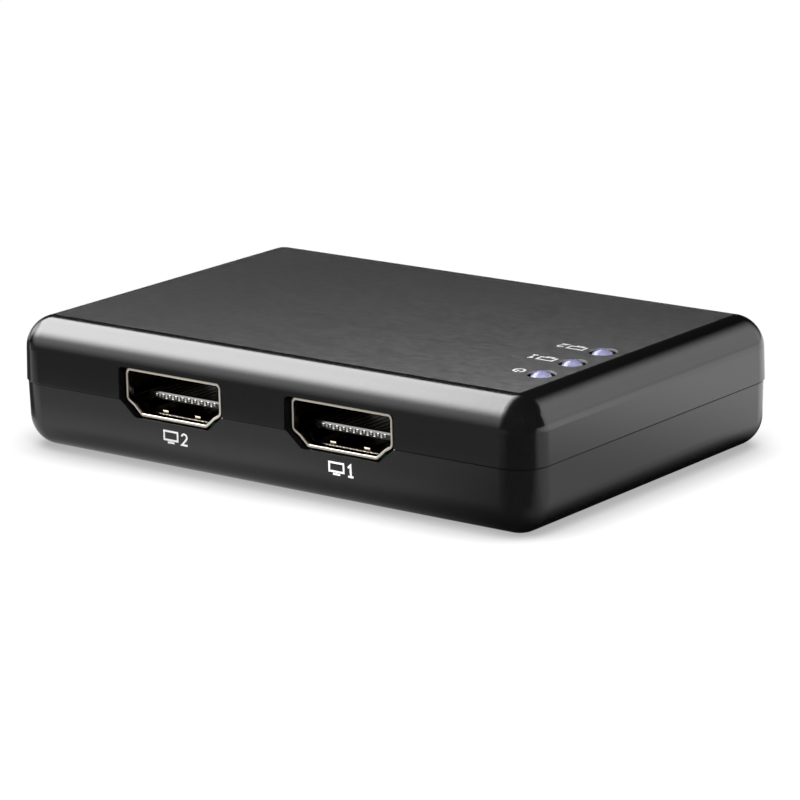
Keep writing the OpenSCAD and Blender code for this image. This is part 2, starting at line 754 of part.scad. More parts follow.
// Gull-wing leads: out of the body, down and along the board
module splitter_chip_leads() {
  level = chip_lift + chip_h / 2;
  knee = chip_w / 2 + chip_lead_l * 0.4;
  color(TINNED) on_board(chip_x, 0) for (turned = [0:90:270], i = [0:chip_leads - 1])
    rotate([0, 0, turned]) translate([0, (i - (chip_leads - 1) / 2) * chip_pitch + chip_lead_w / 2, 0])
      rotate([90, 0, 0]) linear_extrude(chip_lead_w) polygon([
        [chip_w / 2, level], [knee, level], [knee + chip_lead_t, 0], [chip_w / 2 + chip_lead_l, 0],
        [chip_w / 2 + chip_lead_l, chip_lead_t], [knee + 2 * chip_lead_t, chip_lead_t],
        [knee + chip_lead_t, level + chip_lead_t], [chip_w / 2, level + chip_lead_t]]);
}

// Flat crystal can with round ends on its base plate
module crystal() {
  x = chip_x - chip_w / 2 - chip_lead_l - crystal_gap - crystal_w / 2;
  color(TINNED) on_board(x, 0) {
    linear_extrude(crystal_base_h)
      rounded_rectangle(crystal_w + 2 * crystal_rim, crystal_l + 2 * crystal_rim, crystal_r + crystal_rim);
    linear_extrude(crystal_h) rounded_rectangle(crystal_w, crystal_l, crystal_r);
  }
}

// Small regulator with a cooling tab on one side and three leads on the other
module voltage_regulator() {
  front = -regulator_d / 2 - regulator_lead_l;
  color(PACKAGE) on_board(chip_x + chip_w / 2 + chip_lead_l + regulator_w, regulator_y) {
    translate([-regulator_w / 2, -regulator_d / 2, chip_lift]) cube([regulator_w, regulator_d, regulator_h]);
    translate([-regulator_tab_w / 2, regulator_d / 2 - fuse, 0])
      cube([regulator_tab_w, regulator_tab_l + fuse, regulator_lead_t]);
    for (i = [-1:1]) translate([i * regulator_pitch - regulator_lead_w / 2, front, 0])
      cube([regulator_lead_w, regulator_lead_l + fuse, regulator_lead_t]);
  }
}

module power_inductor() {
  color("#4a4a4c") on_board(power_x - inductor_w, back_y - behind_socket + contact_foot)
    linear_extrude(inductor_h) rounded_rectangle(inductor_w, inductor_w, inductor_r);
}

// Upright electrolytic cans on square bases with two cut corners
module bulk_capacitors() {
  half = bulk_d / 2 + bulk_rim;
  cut = half - bulk_d / 5;
  color("#b9bdc2") for (side = [-1, 1]) on_board(-led_x, side * bulk_pitch / 2) {
    linear_extrude(bulk_base_h)
      polygon([[-half, -half], [cut, -half], [half, -cut], [half, cut], [cut, half], [-half, half]]);
    cylinder(d = bulk_d, h = bulk_h);
  }
}

// Eight-lead chip behind the first output
module memory_chip() {
  lead = [memory_lead_w, memory_w + 2 * memory_lead_l, memory_lead_t];
  color(PACKAGE) on_board(output_1_x, front_y + behind_socket + memory_y) {
    translate([-memory_l / 2, -memory_w / 2, chip_lift]) cube([memory_l, memory_w, memory_h]);
    for (i = [-1.5:1.5]) translate([i * memory_pitch - lead.x / 2, -lead.y / 2, 0]) cube(lead);
  }
}

// Two surge arrays behind each HDMI socket
module surge_arrays() {
  color(PACKAGE) at_hdmi_sockets() for (side = [-1, 1])
    translate([side * surge_x - surge_l / 2, contact_end + surge_y, 0]) cube([surge_l, surge_w, surge_h]);
}

// A chip capacitor or resistor that lies along Y
module small_part(h) translate([-small_w / 2, -small_l / 2, 0]) cube([small_w, small_l, h]);

// Decoupling capacitors stand in a row on two sides of the chip
module ceramic_capacitors() {
  off = chip_w / 2 + chip_lead_l + ceramic_y;
  color("#b79a70") for (side = [-1, 1], i = [-2:2]) on_board(chip_x + i * ceramic_pitch, side * off)
    small_part(small_w);
}

// Series resistors stand in a row behind the surge arrays of each output
module resistors() {
  color("#2a2a2c") for (x = [output_1_x, output_2_x], i = [-2:2])
    at_front(x + i * resistor_pitch) translate([0, contact_end + resistor_y, 0]) small_part(resistor_h);
}

upper_cover();
lower_cover();
case_screws();
circuit_board();
hdmi_output_1_shell();
hdmi_output_1_insulator();
hdmi_output_1_contacts();
hdmi_output_2_shell();
hdmi_output_2_insulator();
hdmi_output_2_contacts();
hdmi_input_shell();
hdmi_input_insulator();
hdmi_input_contacts();
power_socket_shell();
power_socket_insulator();
power_socket_contacts();
power_led();
output_1_led();
output_2_led();
led_leads();
splitter_chip();
splitter_chip_leads();
crystal();
voltage_regulator();
power_inductor();
bulk_capacitors();
memory_chip();
surge_arrays();
ceramic_capacitors();
resistors();
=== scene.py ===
# %% [markdown]
# This lesson dresses a small two-way HDMI splitter: a black plastic box with two sockets in the front,
# two in the back and three lamps on top. The solids come from the CAD frame and are already in place.
# Every piece that is added here is measured from them, so nothing has to be fitted by eye.

# %% The frame
import math
import bmesh
import bpy
from mathutils import Matrix, Vector


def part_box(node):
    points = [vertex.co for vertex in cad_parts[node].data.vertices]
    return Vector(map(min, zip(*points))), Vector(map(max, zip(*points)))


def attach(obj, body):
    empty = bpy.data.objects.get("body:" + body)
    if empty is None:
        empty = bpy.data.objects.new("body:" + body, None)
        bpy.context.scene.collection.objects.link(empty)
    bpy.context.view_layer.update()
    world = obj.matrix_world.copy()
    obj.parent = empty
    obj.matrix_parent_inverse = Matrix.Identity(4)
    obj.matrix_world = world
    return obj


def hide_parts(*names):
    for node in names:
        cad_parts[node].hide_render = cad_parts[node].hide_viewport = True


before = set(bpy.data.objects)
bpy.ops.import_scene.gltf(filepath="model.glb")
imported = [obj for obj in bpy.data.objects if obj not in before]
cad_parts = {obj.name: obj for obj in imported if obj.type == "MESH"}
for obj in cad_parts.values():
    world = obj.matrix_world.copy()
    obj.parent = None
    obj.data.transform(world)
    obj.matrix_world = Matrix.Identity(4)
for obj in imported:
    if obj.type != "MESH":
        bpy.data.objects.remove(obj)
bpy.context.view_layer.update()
MM = 0.001
scene = bpy.context.scene
scene.view_settings.view_transform = "Standard"

# %% [markdown]
# The camera stands to the front right, a little above the box, and far off with a long lens, so the
# edges stay almost parallel. It is built from its three axes, which leaves no doubt about its roll.
# A small shift moves the picture in the frame without turning the camera.

# %% Camera
CAMERA_PLACE = Vector((0.28220, -0.36755, 0.12752))
CAMERA_YAW = math.radians(37.448)
CAMERA_PITCH = math.radians(14.618)
CAMERA_ROLL = math.radians(-1.127)
CAMERA_LENS = 176.1
CAMERA_SHIFT = (0.0022, -0.0107)


def linked(name, data):
    """A new object in the scene."""
    made = bpy.data.objects.new(name, data)
    scene.collection.objects.link(made)
    return made


def camera_axes(yaw, pitch, roll):
    """Right, up and backward directions of a camera with that yaw, pitch and roll."""
    back = Vector((math.sin(yaw) * math.cos(pitch), -math.cos(yaw) * math.cos(pitch), math.sin(pitch)))
    right = Vector((math.cos(yaw), math.sin(yaw), 0))
    up = back.cross(right)
    turned_right = math.cos(roll) * right + math.sin(roll) * up
    turned_up = math.cos(roll) * up - math.sin(roll) * right
    return turned_right, turned_up, back


camera_data = bpy.data.cameras.new("camera")
camera_data.lens = CAMERA_LENS
camera_data.shift_x, camera_data.shift_y = CAMERA_SHIFT
camera = linked("camera", camera_data)
axes = Matrix(camera_axes(CAMERA_YAW, CAMERA_PITCH, CAMERA_ROLL)).transposed()
camera.matrix_world = Matrix.Translation(CAMERA_PLACE) @ axes.to_4x4()
scene.camera = camera
print("camera distance in mm:", round(CAMERA_PLACE.length / MM, 1))

# %% [markdown]
# Materials are built from nodes, so a few helpers keep the cells short. The first adds a node, sets what
# it is given and links any socket that it is handed. The others step, blend and multiply. All patterns
# read Object coordinates: every mesh lies at the origin, so these are plain metres in the shared frame.

# %% Node helpers
def add(tree, kind, inputs=None, **settings):
    """A new node, with its settings, and its inputs set to a value or linked to a socket."""
    made = tree.nodes.new(kind)
    for name, value in settings.items():
        setattr(made, name, value)
    for name, value in (inputs or {}).items():
        if isinstance(value, bpy.types.NodeSocket):
            tree.links.new(value, made.inputs[name])
        else:
            made.inputs[name].default_value = value
    return made


def new_tree(name):
    """A new material, its emptied node tree and a socket with Object coordinates."""
    material = bpy.data.materials.new(name)
    material.use_nodes = True
    tree = material.node_tree
    tree.nodes.clear()
    return material, tree, add(tree, "ShaderNodeTexCoord").outputs["Object"]


def surface(tree, shader):
    """Ends a material with that shader."""
    add(tree, "ShaderNodeOutputMaterial", {"Surface": shader.outputs[0]})


def coat(tree, inputs):
    """Ends a material with a Principled shader that has those inputs."""
    surface(tree, add(tree, "ShaderNodeBsdfPrincipled", inputs))


def ramp(tree, value, low, high, at_low=0.0, at_high=1.0):
    """A smooth step of a value from one level to another."""
    inputs = {0: value, 1: low, 2: high, 3: at_low, 4: at_high}
    return add(tree, "ShaderNodeMapRange", inputs, interpolation_type="SMOOTHSTEP").outputs[0]


def math_node(tree, operation, a, b=0.0):
    """The result of one calculation."""
    return add(tree, "ShaderNodeMath", {0: a, 1: b}, operation=operation).outputs[0]


def split(tree, vector):
    """The three parts of a vector."""
    return add(tree, "ShaderNodeSeparateXYZ", {0: vector}).outputs


def product(tree, *values):
    """The product of several numbers or sockets, of which the first is a socket."""
    result = values[0]
    for value in values[1:]:
        result = math_node(tree, "MULTIPLY", result, value)
    return result


def blend_colour(tree, factor, a, b):
    """A colour between two colours."""
    return add(tree, "ShaderNodeMix", {0: factor, 6: a, 7: b}, data_type="RGBA").outputs[2]


def blend_value(tree, factor, a, b):
    """A number between two numbers."""
    return add(tree, "ShaderNodeMix", {0: factor, 2: a, 3: b}, data_type="FLOAT").outputs[0]


def noise(tree, place, scale, detail=2.0, stretch=(1, 1, 1)):
    """Noise of that many features to the metre, stretched along the axes where a factor is small."""
    moved = add(tree, "ShaderNodeMapping", {"Vector": place, "Scale": stretch}).outputs[0]
    return add(tree, "ShaderNodeTexNoise", {"Vector": moved, "Scale": scale, "Detail": detail}).outputs[0]


def bump(tree, height, depth):
    """A normal that follows a height map of that depth in metres."""
    return add(tree, "ShaderNodeBump", {"Height": height, "Distance": depth, "Strength": 1.0}).outputs[0]


def grey(level, tint=1.0):
    """An RGBA grey, with its blue multiplied by the tint."""
    return (level, level, level * tint, 1.0)


print("node helpers ready")

# %% [markdown]
# The floor is a plain white sheet. The camera sees it as white, apart from the soft shadow under the box,
# which an Ambient Occlusion node measures. In reflections the sheet is bright to the right and behind, dim
# in front and dark close to the box, as a table that is lit from behind is. Each of these is a step along
# one axis: where it starts and ends, in metres, and the level at both. From below the sheet is clear.

# %% Floor
FLOOR_HALF = 3.0
FLOOR_DROP = 0.00002
FLOOR_WHITE = 0.8
FLOOR_GLOW = 1.0
FLOOR_THIN = 0.10
FLOOR_SQUARE = ((-1, -1), (1, -1), (1, 1), (-1, 1))
SHADOW_REACH = 0.009
SHADOW_SAMPLES = 16
SHADOW_STEP = (0.25, 0.93, 0.42, 1.0)
FRONT_CONTACT = (0.4, 1.0, 0.40, 1.0)
RIGHT_CONTACT = (0.35, 1.0, 0.05, 1.0)
FRONT_LEVEL = 0.22
FRONT_FAR = (-0.058, -0.046, 0.0, 0.38)
FRONT_NEAR = (-0.042, -0.036, 0.0, 0.28)
FRONT_ACROSS = (-0.010, 0.012, 1.0, 0.58)
FRONT_CORNER = (0.008, 0.036, 1.0, 0.1)
LEFT_ACROSS = (-0.055, -0.042, 0.9, 0.0)
LEFT_START = (-0.034, -0.026)
RIGHT_ACROSS = (0.036, 0.042)
RIGHT_START = (-0.034, -0.014)
RIGHT_GROWTH = (0.0, 0.055, 0.68, 1.65)
RIGHT_HALF = (0.030, 0.040)
BACK_GROWTH = (0.028, 0.045, 0.0, 1.2)


def mirrored_glow(tree, place):
    """How bright the sheet is in the polished walls, and which part of it lies to the right."""
    axis = split(tree, place)
    across, along = axis[0], axis[1]
    rise = math_node(tree, "ADD", ramp(tree, along, *FRONT_FAR), ramp(tree, along, *FRONT_NEAR))
    rise = product(tree, rise, ramp(tree, across, *FRONT_ACROSS))
    front = product(tree, math_node(tree, "ADD", rise, FRONT_LEVEL), ramp(tree, across, *FRONT_CORNER))
    left = product(tree, ramp(tree, across, *LEFT_ACROSS), ramp(tree, along, *LEFT_START))
    front = product(tree, front, math_node(tree, "SUBTRACT", 1.0, left))
    right = product(tree, ramp(tree, along, *RIGHT_GROWTH), ramp(tree, along, *RIGHT_START))
    right = product(tree, right, ramp(tree, across, *RIGHT_ACROSS))
    back = ramp(tree, along, *BACK_GROWTH)
    brightest = math_node(tree, "MAXIMUM", front, math_node(tree, "MAXIMUM", right, back))
    return brightest, ramp(tree, across, *RIGHT_HALF)


def floor_material():
    """White with a shadow for the camera, glowing by place in reflections, plain for other light."""
    material, tree, place = new_tree("white_sheet")
    path = add(tree, "ShaderNodeLightPath").outputs
    occlusion = add(tree, "ShaderNodeAmbientOcclusion", {"Distance": SHADOW_REACH}, samples=SHADOW_SAMPLES)
    shade = occlusion.outputs["AO"]
    seen, on_the_right = mirrored_glow(tree, place)
    front_contact = ramp(tree, shade, *FRONT_CONTACT)
    contact = blend_value(tree, on_the_right, front_contact, ramp(tree, shade, *RIGHT_CONTACT))
    direct_level = product(tree, ramp(tree, shade, *SHADOW_STEP), FLOOR_GLOW)
    level = blend_value(tree, path["Is Glossy Ray"], direct_level, product(tree, seen, contact))
    glow = add(tree, "ShaderNodeEmission", {"Strength": level})
    thin_colour = blend_colour(tree, path["Is Camera Ray"], grey(0.0), grey(FLOOR_THIN))
    thin = add(tree, "ShaderNodeBsdfDiffuse", {"Color": thin_colour})
    shown = add(tree, "ShaderNodeAddShader", {0: thin.outputs[0], 1: glow.outputs[0]})
    plain = add(tree, "ShaderNodeBsdfDiffuse", {"Color": grey(FLOOR_WHITE)})
    direct = math_node(tree, "MAXIMUM", path["Is Camera Ray"], path["Is Glossy Ray"])
    direct = math_node(tree, "MAXIMUM", direct, path["Is Transmission Ray"])
    above = add(tree, "ShaderNodeMixShader", {0: direct, 1: plain.outputs[0], 2: shown.outputs[0]})
    clear = add(tree, "ShaderNodeBsdfTransparent")
    below = add(tree, "ShaderNodeNewGeometry").outputs["Backfacing"]
    surface(tree, add(tree, "ShaderNodeMixShader", {0: below, 1: above.outputs[0], 2: clear.outputs[0]}))
    return material


def mesh_object(name, mesh, material):
    """An object at the origin for a finished mesh."""
    mesh.materials.clear()
    mesh.materials.append(material)
    return linked(name, mesh)


def sheet(name, points, faces, material):
    """An object made of plain flat faces."""
    mesh = bpy.data.meshes.new(name)
    mesh.from_pydata(points, [], faces)
    return mesh_object(name, mesh, material)


floor_corners = [(x * FLOOR_HALF, y * FLOOR_HALF, -FLOOR_DROP) for x, y in FLOOR_SQUARE]
floor = sheet("floor", floor_corners, [(0, 1, 2, 3)], floor_material())
print("floor half width in m:", FLOOR_HALF)

# %% [markdown]
# A glossy black case is drawn by what it mirrors. One arched soft light stands at the left, along the arc
# of directions that the rolled front edge mirrors to the camera. It is brightest a little in front of the
# top and fades towards its front foot and both ends, which gives the edge its long soft highlight.

# %% Arched light
ARCH_RADIUS = 0.485
ARCH_LEFT = -1.60
ARCH_RIGHT = -0.10
ARCH_BACK = math.radians(-34)
ARCH_FRONT = math.radians(88)
ARCH_STEPS = 24
ARCH_STRENGTH = 11.0
ARCH_BRIGHTEST = math.radians(30)
ARCH_DIM = math.radians(62)
ARCH_RISE = (ARCH_BACK, ARCH_BRIGHTEST, 0.62, 1.0)
ARCH_FALL = (ARCH_BRIGHTEST, ARCH_DIM, 1.0, 0.16)
ARCH_FOOT = (ARCH_DIM, ARCH_FRONT, 1.0, 0.3)
ARCH_LEFT_END = (-1.30, -0.45, 0.2, 1.0)
ARCH_RIGHT_END = (-0.33, -0.12, 1.0, 0.0)


def arch_material():
    """A light whose strength steps along the arch and towards its ends."""
    material, tree, place = new_tree("arched_light")
    axis = split(tree, place)
    angle = math_node(tree, "ARCTAN2", product(tree, axis[1], -1.0), axis[2])
    over = product(tree, ramp(tree, angle, *ARCH_RISE), ramp(tree, angle, *ARCH_FALL))
    ends = product(tree, ramp(tree, axis[0], *ARCH_LEFT_END), ramp(tree, axis[0], *ARCH_RIGHT_END))
    lower = product(tree, ramp(tree, angle, *ARCH_FOOT), ends)
    surface(tree, add(tree, "ShaderNodeEmission", {"Strength": product(tree, over, lower, ARCH_STRENGTH)}))
    return material


arch_points = []
for step in range(ARCH_STEPS + 1):
    angle = ARCH_BACK + (ARCH_FRONT - ARCH_BACK) * step / ARCH_STEPS
    y, z = -ARCH_RADIUS * math.sin(angle), ARCH_RADIUS * math.cos(angle)
    arch_points += [(ARCH_LEFT, y, z), (ARCH_RIGHT, y, z)]
arch_faces = [(2 * i, 2 * i + 1, 2 * i + 3, 2 * i + 2) for i in range(ARCH_STEPS)]
arch = sheet("arch", arch_points, arch_faces, arch_material())
arch.visible_camera = False
arch.visible_diffuse = False
print("arch faces:", len(arch_faces))

# %% [markdown]
# Two pale cards stand at the sides, out of the camera's sight. The left one carries the highlight on round
# the ball corner, and the one at the back right lights the rolled right edge. Plain lamplight for colours
# comes from one small soft lamp close in front, so the top is lightest there and darker towards the back.
# The lamp is kept out of the mirror-like walls. The room is almost dark.

# %% Cards, lamp and room
LEFT_CARD = [(-0.80, -0.05, 0.04), (-0.80, 0.45, 0.04), (-0.80, 0.45, 0.60), (-0.80, -0.05, 0.60)]
RIGHT_CARD = [(-0.06, 0.62, 0.0), (0.90, 0.62, 0.0), (0.90, 0.62, 0.55), (-0.06, 0.62, 0.55)]
LAMP_PLACE = Vector((0.065, -0.08, 0.065))
LAMP_WIDTH = 0.06
LAMP_WATTS = 0.19
ROOM_LEVEL = 0.02
LEFT_LEVEL = (0.0, 0.42, 3.4, 0.3)
LEFT_FOOT = (0.04, 0.22, 0.15, 1.0)
RIGHT_LEVEL = (-0.05, 0.30, 0.0, 1.5)
RIGHT_FOOT = (0.0, 0.10, 0.8, 1.0)


def card(name, corners, along, level, foot):
    """An upright card that only reflections see, stepped in brightness along one axis and at its foot."""
    material, tree, place = new_tree(name)
    axis = split(tree, place)
    strength = product(tree, ramp(tree, axis[along], *level), ramp(tree, axis[2], *foot))
    surface(tree, add(tree, "ShaderNodeEmission", {"Strength": strength}))
    made = sheet(name, corners, [(0, 1, 2, 3)], material)
    made.visible_camera = False
    made.visible_diffuse = False


card("left_card", LEFT_CARD, 1, LEFT_LEVEL, LEFT_FOOT)
card("right_card", RIGHT_CARD, 0, RIGHT_LEVEL, RIGHT_FOOT)
lamp_data = bpy.data.lights.new("soft_lamp", "AREA")
lamp_data.size = LAMP_WIDTH
lamp_data.energy = LAMP_WATTS
lamp = linked("soft_lamp", lamp_data)
lamp_turn = LAMP_PLACE.to_track_quat("Z", "Y").to_matrix().to_4x4()
lamp.matrix_world = Matrix.Translation(LAMP_PLACE) @ lamp_turn
lamp.visible_glossy = False
lamp.visible_camera = False
room = bpy.data.worlds.new("room")
room.use_nodes = True
background = room.node_tree.nodes["Background"].inputs
background["Color"].default_value = grey(1.0)
background["Strength"].default_value = ROOM_LEVEL
scene.world = room
print("lamp distance in m:", round(LAMP_PLACE.length, 2))

# %% [markdown]
# The case is moulded in black plastic. Its walls and rolled edges are polished, with faint upright flow
# marks. Its flat top is greyer and satin, with a fine grain along the length. One material makes both: a
# smooth step in height tells the flat top from the edges, so the change follows the shape. The chamfered
# rims of the lamp holes are matt.

# %% Case plastic
TOP_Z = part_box("upper_cover")[1].z
LAMP_ROW = sum(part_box("output_1_led"), Vector()) / 2
FLAT_STEP = (TOP_Z - 0.030 * MM, TOP_Z - 0.004 * MM)
RIM_STEP = (TOP_Z - 0.250 * MM, TOP_Z - 0.225 * MM)
RIM_ACROSS = (1.95 * MM, 2.0 * MM, 1.0, 0.0)
RIM_ALONG = (8.2 * MM, 8.282 * MM, 1.0, 0.0)
RIM_ROUGH = 0.85
GLOSS_BASE = 0.0025
TOP_BASE = 0.100
CASE_IOR = 1.58
CASE_GRAIN = 0.006 * MM
TOP_GRAIN = 0.030 * MM
WALL_ROUGH = (0.12, 0.19)
TOP_ROUGH = (0.26, 0.36)
LINE_STEP = (0.34, 0.68)
LINE_STRETCH = (750, 1800, 40)
FLOW_STRETCH = (900, 900, 45)
CLOUD_SCALE = 45.0
GRAIN_SCALE = 2400.0


def satin_parts(tree, place):
    """Where the case is satin, and which of that is the rim of a lamp hole."""
    axis = split(tree, place)
    flat = ramp(tree, axis[2], *FLAT_STEP)
    aside = math_node(tree, "ABSOLUTE", math_node(tree, "SUBTRACT", axis[0], LAMP_ROW.x))
    along = math_node(tree, "ABSOLUTE", math_node(tree, "SUBTRACT", axis[1], LAMP_ROW.y))
    rim = product(tree, ramp(tree, axis[2], *RIM_STEP), ramp(tree, aside, *RIM_ACROSS))
    rim = product(tree, rim, ramp(tree, along, *RIM_ALONG), math_node(tree, "SUBTRACT", 1.0, flat))
    return math_node(tree, "MAXIMUM", flat, rim), rim


def case_material(name):
    """Polished black walls and a satin top in one plastic."""
    material, tree, place = new_tree(name)
    top, rim = satin_parts(tree, place)
    cloud = noise(tree, place, CLOUD_SCALE, 3.0)
    hair = noise(tree, place, 1.0, 5.0, LINE_STRETCH)
    flow = noise(tree, place, 1.0, 2.0, FLOW_STRETCH)
    grain = noise(tree, place, GRAIN_SCALE, 2.0)
    wall_colour = blend_colour(tree, cloud, grey(GLOSS_BASE * 0.8), grey(GLOSS_BASE * 1.3, 1.06))
    lines = ramp(tree, hair, *LINE_STEP)
    shade = math_node(tree, "ADD", product(tree, cloud, 0.3), product(tree, lines, 0.7))
    top_colour = blend_colour(tree, shade, grey(TOP_BASE * 0.76), grey(TOP_BASE * 1.34))
    wall_rough = blend_value(tree, flow, *WALL_ROUGH)
    top_rough = blend_value(tree, rim, blend_value(tree, hair, *TOP_ROUGH), RIM_ROUGH)
    height = blend_value(tree, top, blend_value(tree, 0.7, flow, grain), hair)
    coat(tree, {
        "Base Color": blend_colour(tree, top, wall_colour, top_colour),
        "Roughness": blend_value(tree, top, wall_rough, top_rough),
        "IOR": CASE_IOR,
        "Normal": bump(tree, height, blend_value(tree, top, CASE_GRAIN, TOP_GRAIN)),
    })
    return material


def dress(node, material):
    """Gives a CAD node its finished material."""
    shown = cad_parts[node]
    shown.data.materials.clear()
    shown.data.materials.append(material)


case_plastic = case_material("moulded_black_plastic")
dress("upper_cover", case_plastic)
dress("lower_cover", case_plastic)
print("top of the case in mm:", round(TOP_Z / MM, 2))

# %% [markdown]
# The sockets' shells are thin brass sheet with a warm nickel plating, drawn through rollers, so the
# plating has faint lines along its length and a slightly uneven gloss. Their faces that look to the front
# or back, the lip among them, are painted much brighter as a painted highlight, and the other faces are
# painted darker, a painted shade that keeps the mouths dark inside. The contacts are paler and
# brighter. Both are metals: their colour is in the reflection.

# %% Metals
METAL_GRAIN = 0.0015 * MM
METAL_PATCHES = 700.0
SHELL_PATCHES = 900.0
TORN_SCALE = 9000.0
SHELL_LINES = (6000, 300, 6000)
CONTACT_LINES = (5000, 250, 5000)
LEAD_LINES = (2500, 2500, 300)
SCREW_LINES = (3000, 3000, 3000)
CAN_LINES = (300, 300, 6000)
EDGE_STEP = (0.5, 0.9)
FACE_ROUGH = (0.09, 0.14)
EDGE_ROUGH = (0.36, 0.52)
PATCH_LIGHT = 1.25


def metal_material(name, dark, light, rough, lines):
    """Plain metal with uneven patches and fine lines."""
    material, tree, place = new_tree(name)
    patches = noise(tree, place, METAL_PATCHES, 3.0)
    drawn = noise(tree, place, 1.0, 2.0, lines)
    coat(tree, {
        "Base Color": blend_colour(tree, patches, (*dark, 1.0), (*light, 1.0)),
        "Metallic": 1.0,
        "Roughness": blend_value(tree, drawn, rough * 0.75, rough * 1.3),
        "Normal": bump(tree, drawn, METAL_GRAIN),
    })
    return material


def shell_material(name, shaded_rolled_faces, sheared_edge_highlight):
    """Plated sheet with smooth faces and rough sheared edges; faces that look front or back get a painted
    highlight, the rest a painted shade.
    """
    material, tree, place = new_tree(name)
    normal = add(tree, "ShaderNodeNewGeometry").outputs["Normal"]
    facing = math_node(tree, "ABSOLUTE", split(tree, normal)[1])
    # Painted highlight: faces that look to the front or back, such as the lip, take the much brighter
    # colour, and the other faces keep the darker one, a painted shade for the mouth's inside.
    edge = ramp(tree, facing, *EDGE_STEP)
    patches = noise(tree, place, SHELL_PATCHES, 3.0)
    drawn = noise(tree, place, 1.0, 2.0, SHELL_LINES)
    torn = noise(tree, place, TORN_SCALE, 2.0)
    lighter = [PATCH_LIGHT * level for level in shaded_rolled_faces]
    face_colour = blend_colour(tree, patches, (*shaded_rolled_faces, 1.0), (*lighter, 1.0))
    face_rough = blend_value(tree, drawn, *FACE_ROUGH)
    coat(tree, {
        "Base Color": blend_colour(tree, edge, face_colour, (*sheared_edge_highlight, 1.0)),
        "Metallic": 1.0,
        "Roughness": blend_value(tree, edge, face_rough, blend_value(tree, torn, *EDGE_ROUGH)),
        "Normal": bump(tree, blend_value(tree, edge, drawn, torn), METAL_GRAIN),
    })
    return material


# First colour: the faces, darkened as painted shade. Second: the lip and sheared edges, brightened as a
# painted highlight.
plated_shell = shell_material("plated_shell", (0.42, 0.38, 0.33), (1.0, 0.92, 0.80))
contact_metal = metal_material("contact_metal", (0.80, 0.78, 0.73), (0.93, 0.91, 0.87), 0.22, CONTACT_LINES)
tinned = metal_material("tinned_metal", (0.60, 0.61, 0.62), (0.74, 0.75, 0.77), 0.34, LEAD_LINES)
screw_steel = metal_material("screw_steel", (0.40, 0.41, 0.43), (0.54, 0.55, 0.57), 0.30, SCREW_LINES)
can_metal = metal_material("capacitor_can", (0.62, 0.64, 0.66), (0.76, 0.78, 0.80), 0.28, CAN_LINES)
print("metals:", [m.name for m in (plated_shell, contact_metal, tinned, screw_steel, can_metal)])

# %% [markdown]
# A socket shell is one strip of sheet bent round into the mouth's outline. The outline is a list of
# corners with radii, and it can be grown by the sheet's thickness, so one list gives both faces of the
# sheet. The HDMI mouth has shoulders, and the power mouth has plain slopes.

# %% Socket outlines
HDMI_SIZE = {"w": 14.0, "h": 4.55, "side": 3.1, "floor": 9.8, "inset": 0.95, "drop": 0.5}
POWER_SIZE = {"w": 6.9, "h": 1.85, "side": 1.1, "floor": 5.3}
MOUTH_RADIUS = 0.4
SHEET = 0.3
CORNER_STEPS = 8


def mouth_corners(w, h, side, floor, inset=0.0, drop=0.0):
    """Corners of a mouth, anticlockwise, +1 at outer and -1 at inner ones. An inset makes shoulders."""
    half, low = w / 2, h - side
    right = [(floor / 2, 0, 1), (half, low, 1), (half, h, 1)]
    if inset:
        right.insert(1, (half - inset, low - drop, -1))
    return right + [(-x, z, turn) for x, z, turn in reversed(right)]


def outline(corners, grow):
    """The rounded outline of a mouth, grown outwards, with the same count of points at any growth."""
    flat = [Vector((x, z)) for x, z, _ in corners]
    count = len(flat)
    points = []
    for i, (_, _, turn) in enumerate(corners):
        back = (flat[i - 1] - flat[i]).normalized()
        ahead = (flat[(i + 1) % count] - flat[i]).normalized()
        before = Vector((-back.y, back.x))
        after = Vector((ahead.y, -ahead.x))
        corner = flat[i] + grow * (before + after) / (1 + before.dot(after))
        radius = MOUTH_RADIUS + turn * grow
        half = math.acos(max(-1, min(1, back.dot(ahead)))) / 2
        centre = corner + (back + ahead).normalized() * radius / math.sin(half)
        start = corner + back * radius / math.tan(half) - centre
        sweep = (math.pi - 2 * half) * turn
        for step in range(CORNER_STEPS + 1):
            angle = sweep * step / CORNER_STEPS
            turned = Vector((start.x * math.cos(angle) - start.y * math.sin(angle),
                             start.x * math.sin(angle) + start.y * math.cos(angle)))
            points.append(centre + turned)
    return points


HDMI = mouth_corners(**HDMI_SIZE)
POWER = mouth_corners(**POWER_SIZE)
print("points round the HDMI mouth:", len(outline(HDMI, 0)))

# %% [markdown]
# The lip of a shell is rounded and opens out a little, so that a plug finds its way in. A closed section
# of inside wall, lip, outside wall and back edge is carried round the outline, which grows towards the
# mouth over the first millimetre. Rings of points keep the sheet's thickness even all round.

# %% Swept shells
SHELL_LENGTH = 11.5
POWER_LENGTH = 5.2
LIP_ROUND = 0.06
LIP_STEPS = 3
FLARE_LENGTH = 1.2
FLARE_STEPS = 5
HDMI_FLARE = (1.012, 1.125)


def shell_section(length):
    """Inside wall, rounded lip, outside wall and back edge, as pairs of growth and depth."""
    inside = [(0, length)]
    for step in range(FLARE_STEPS, 0, -1):
        inside.append((0, FLARE_LENGTH * step / FLARE_STEPS))
    for step in range(LIP_STEPS + 1):
        angle = math.pi / 2 * step / LIP_STEPS
        inside.append((LIP_ROUND * (1 - math.cos(angle)), LIP_ROUND * (1 - math.sin(angle))))
    return inside + [(SHEET - grow, depth) for grow, depth in reversed(inside)]


def join_rings(bm, first, second):
    """Faces between two rings with the same count of points."""
    for i in range(len(first)):
        j = (i + 1) % len(first)
        bm.faces.new((first[i], first[j], second[j], second[i]))


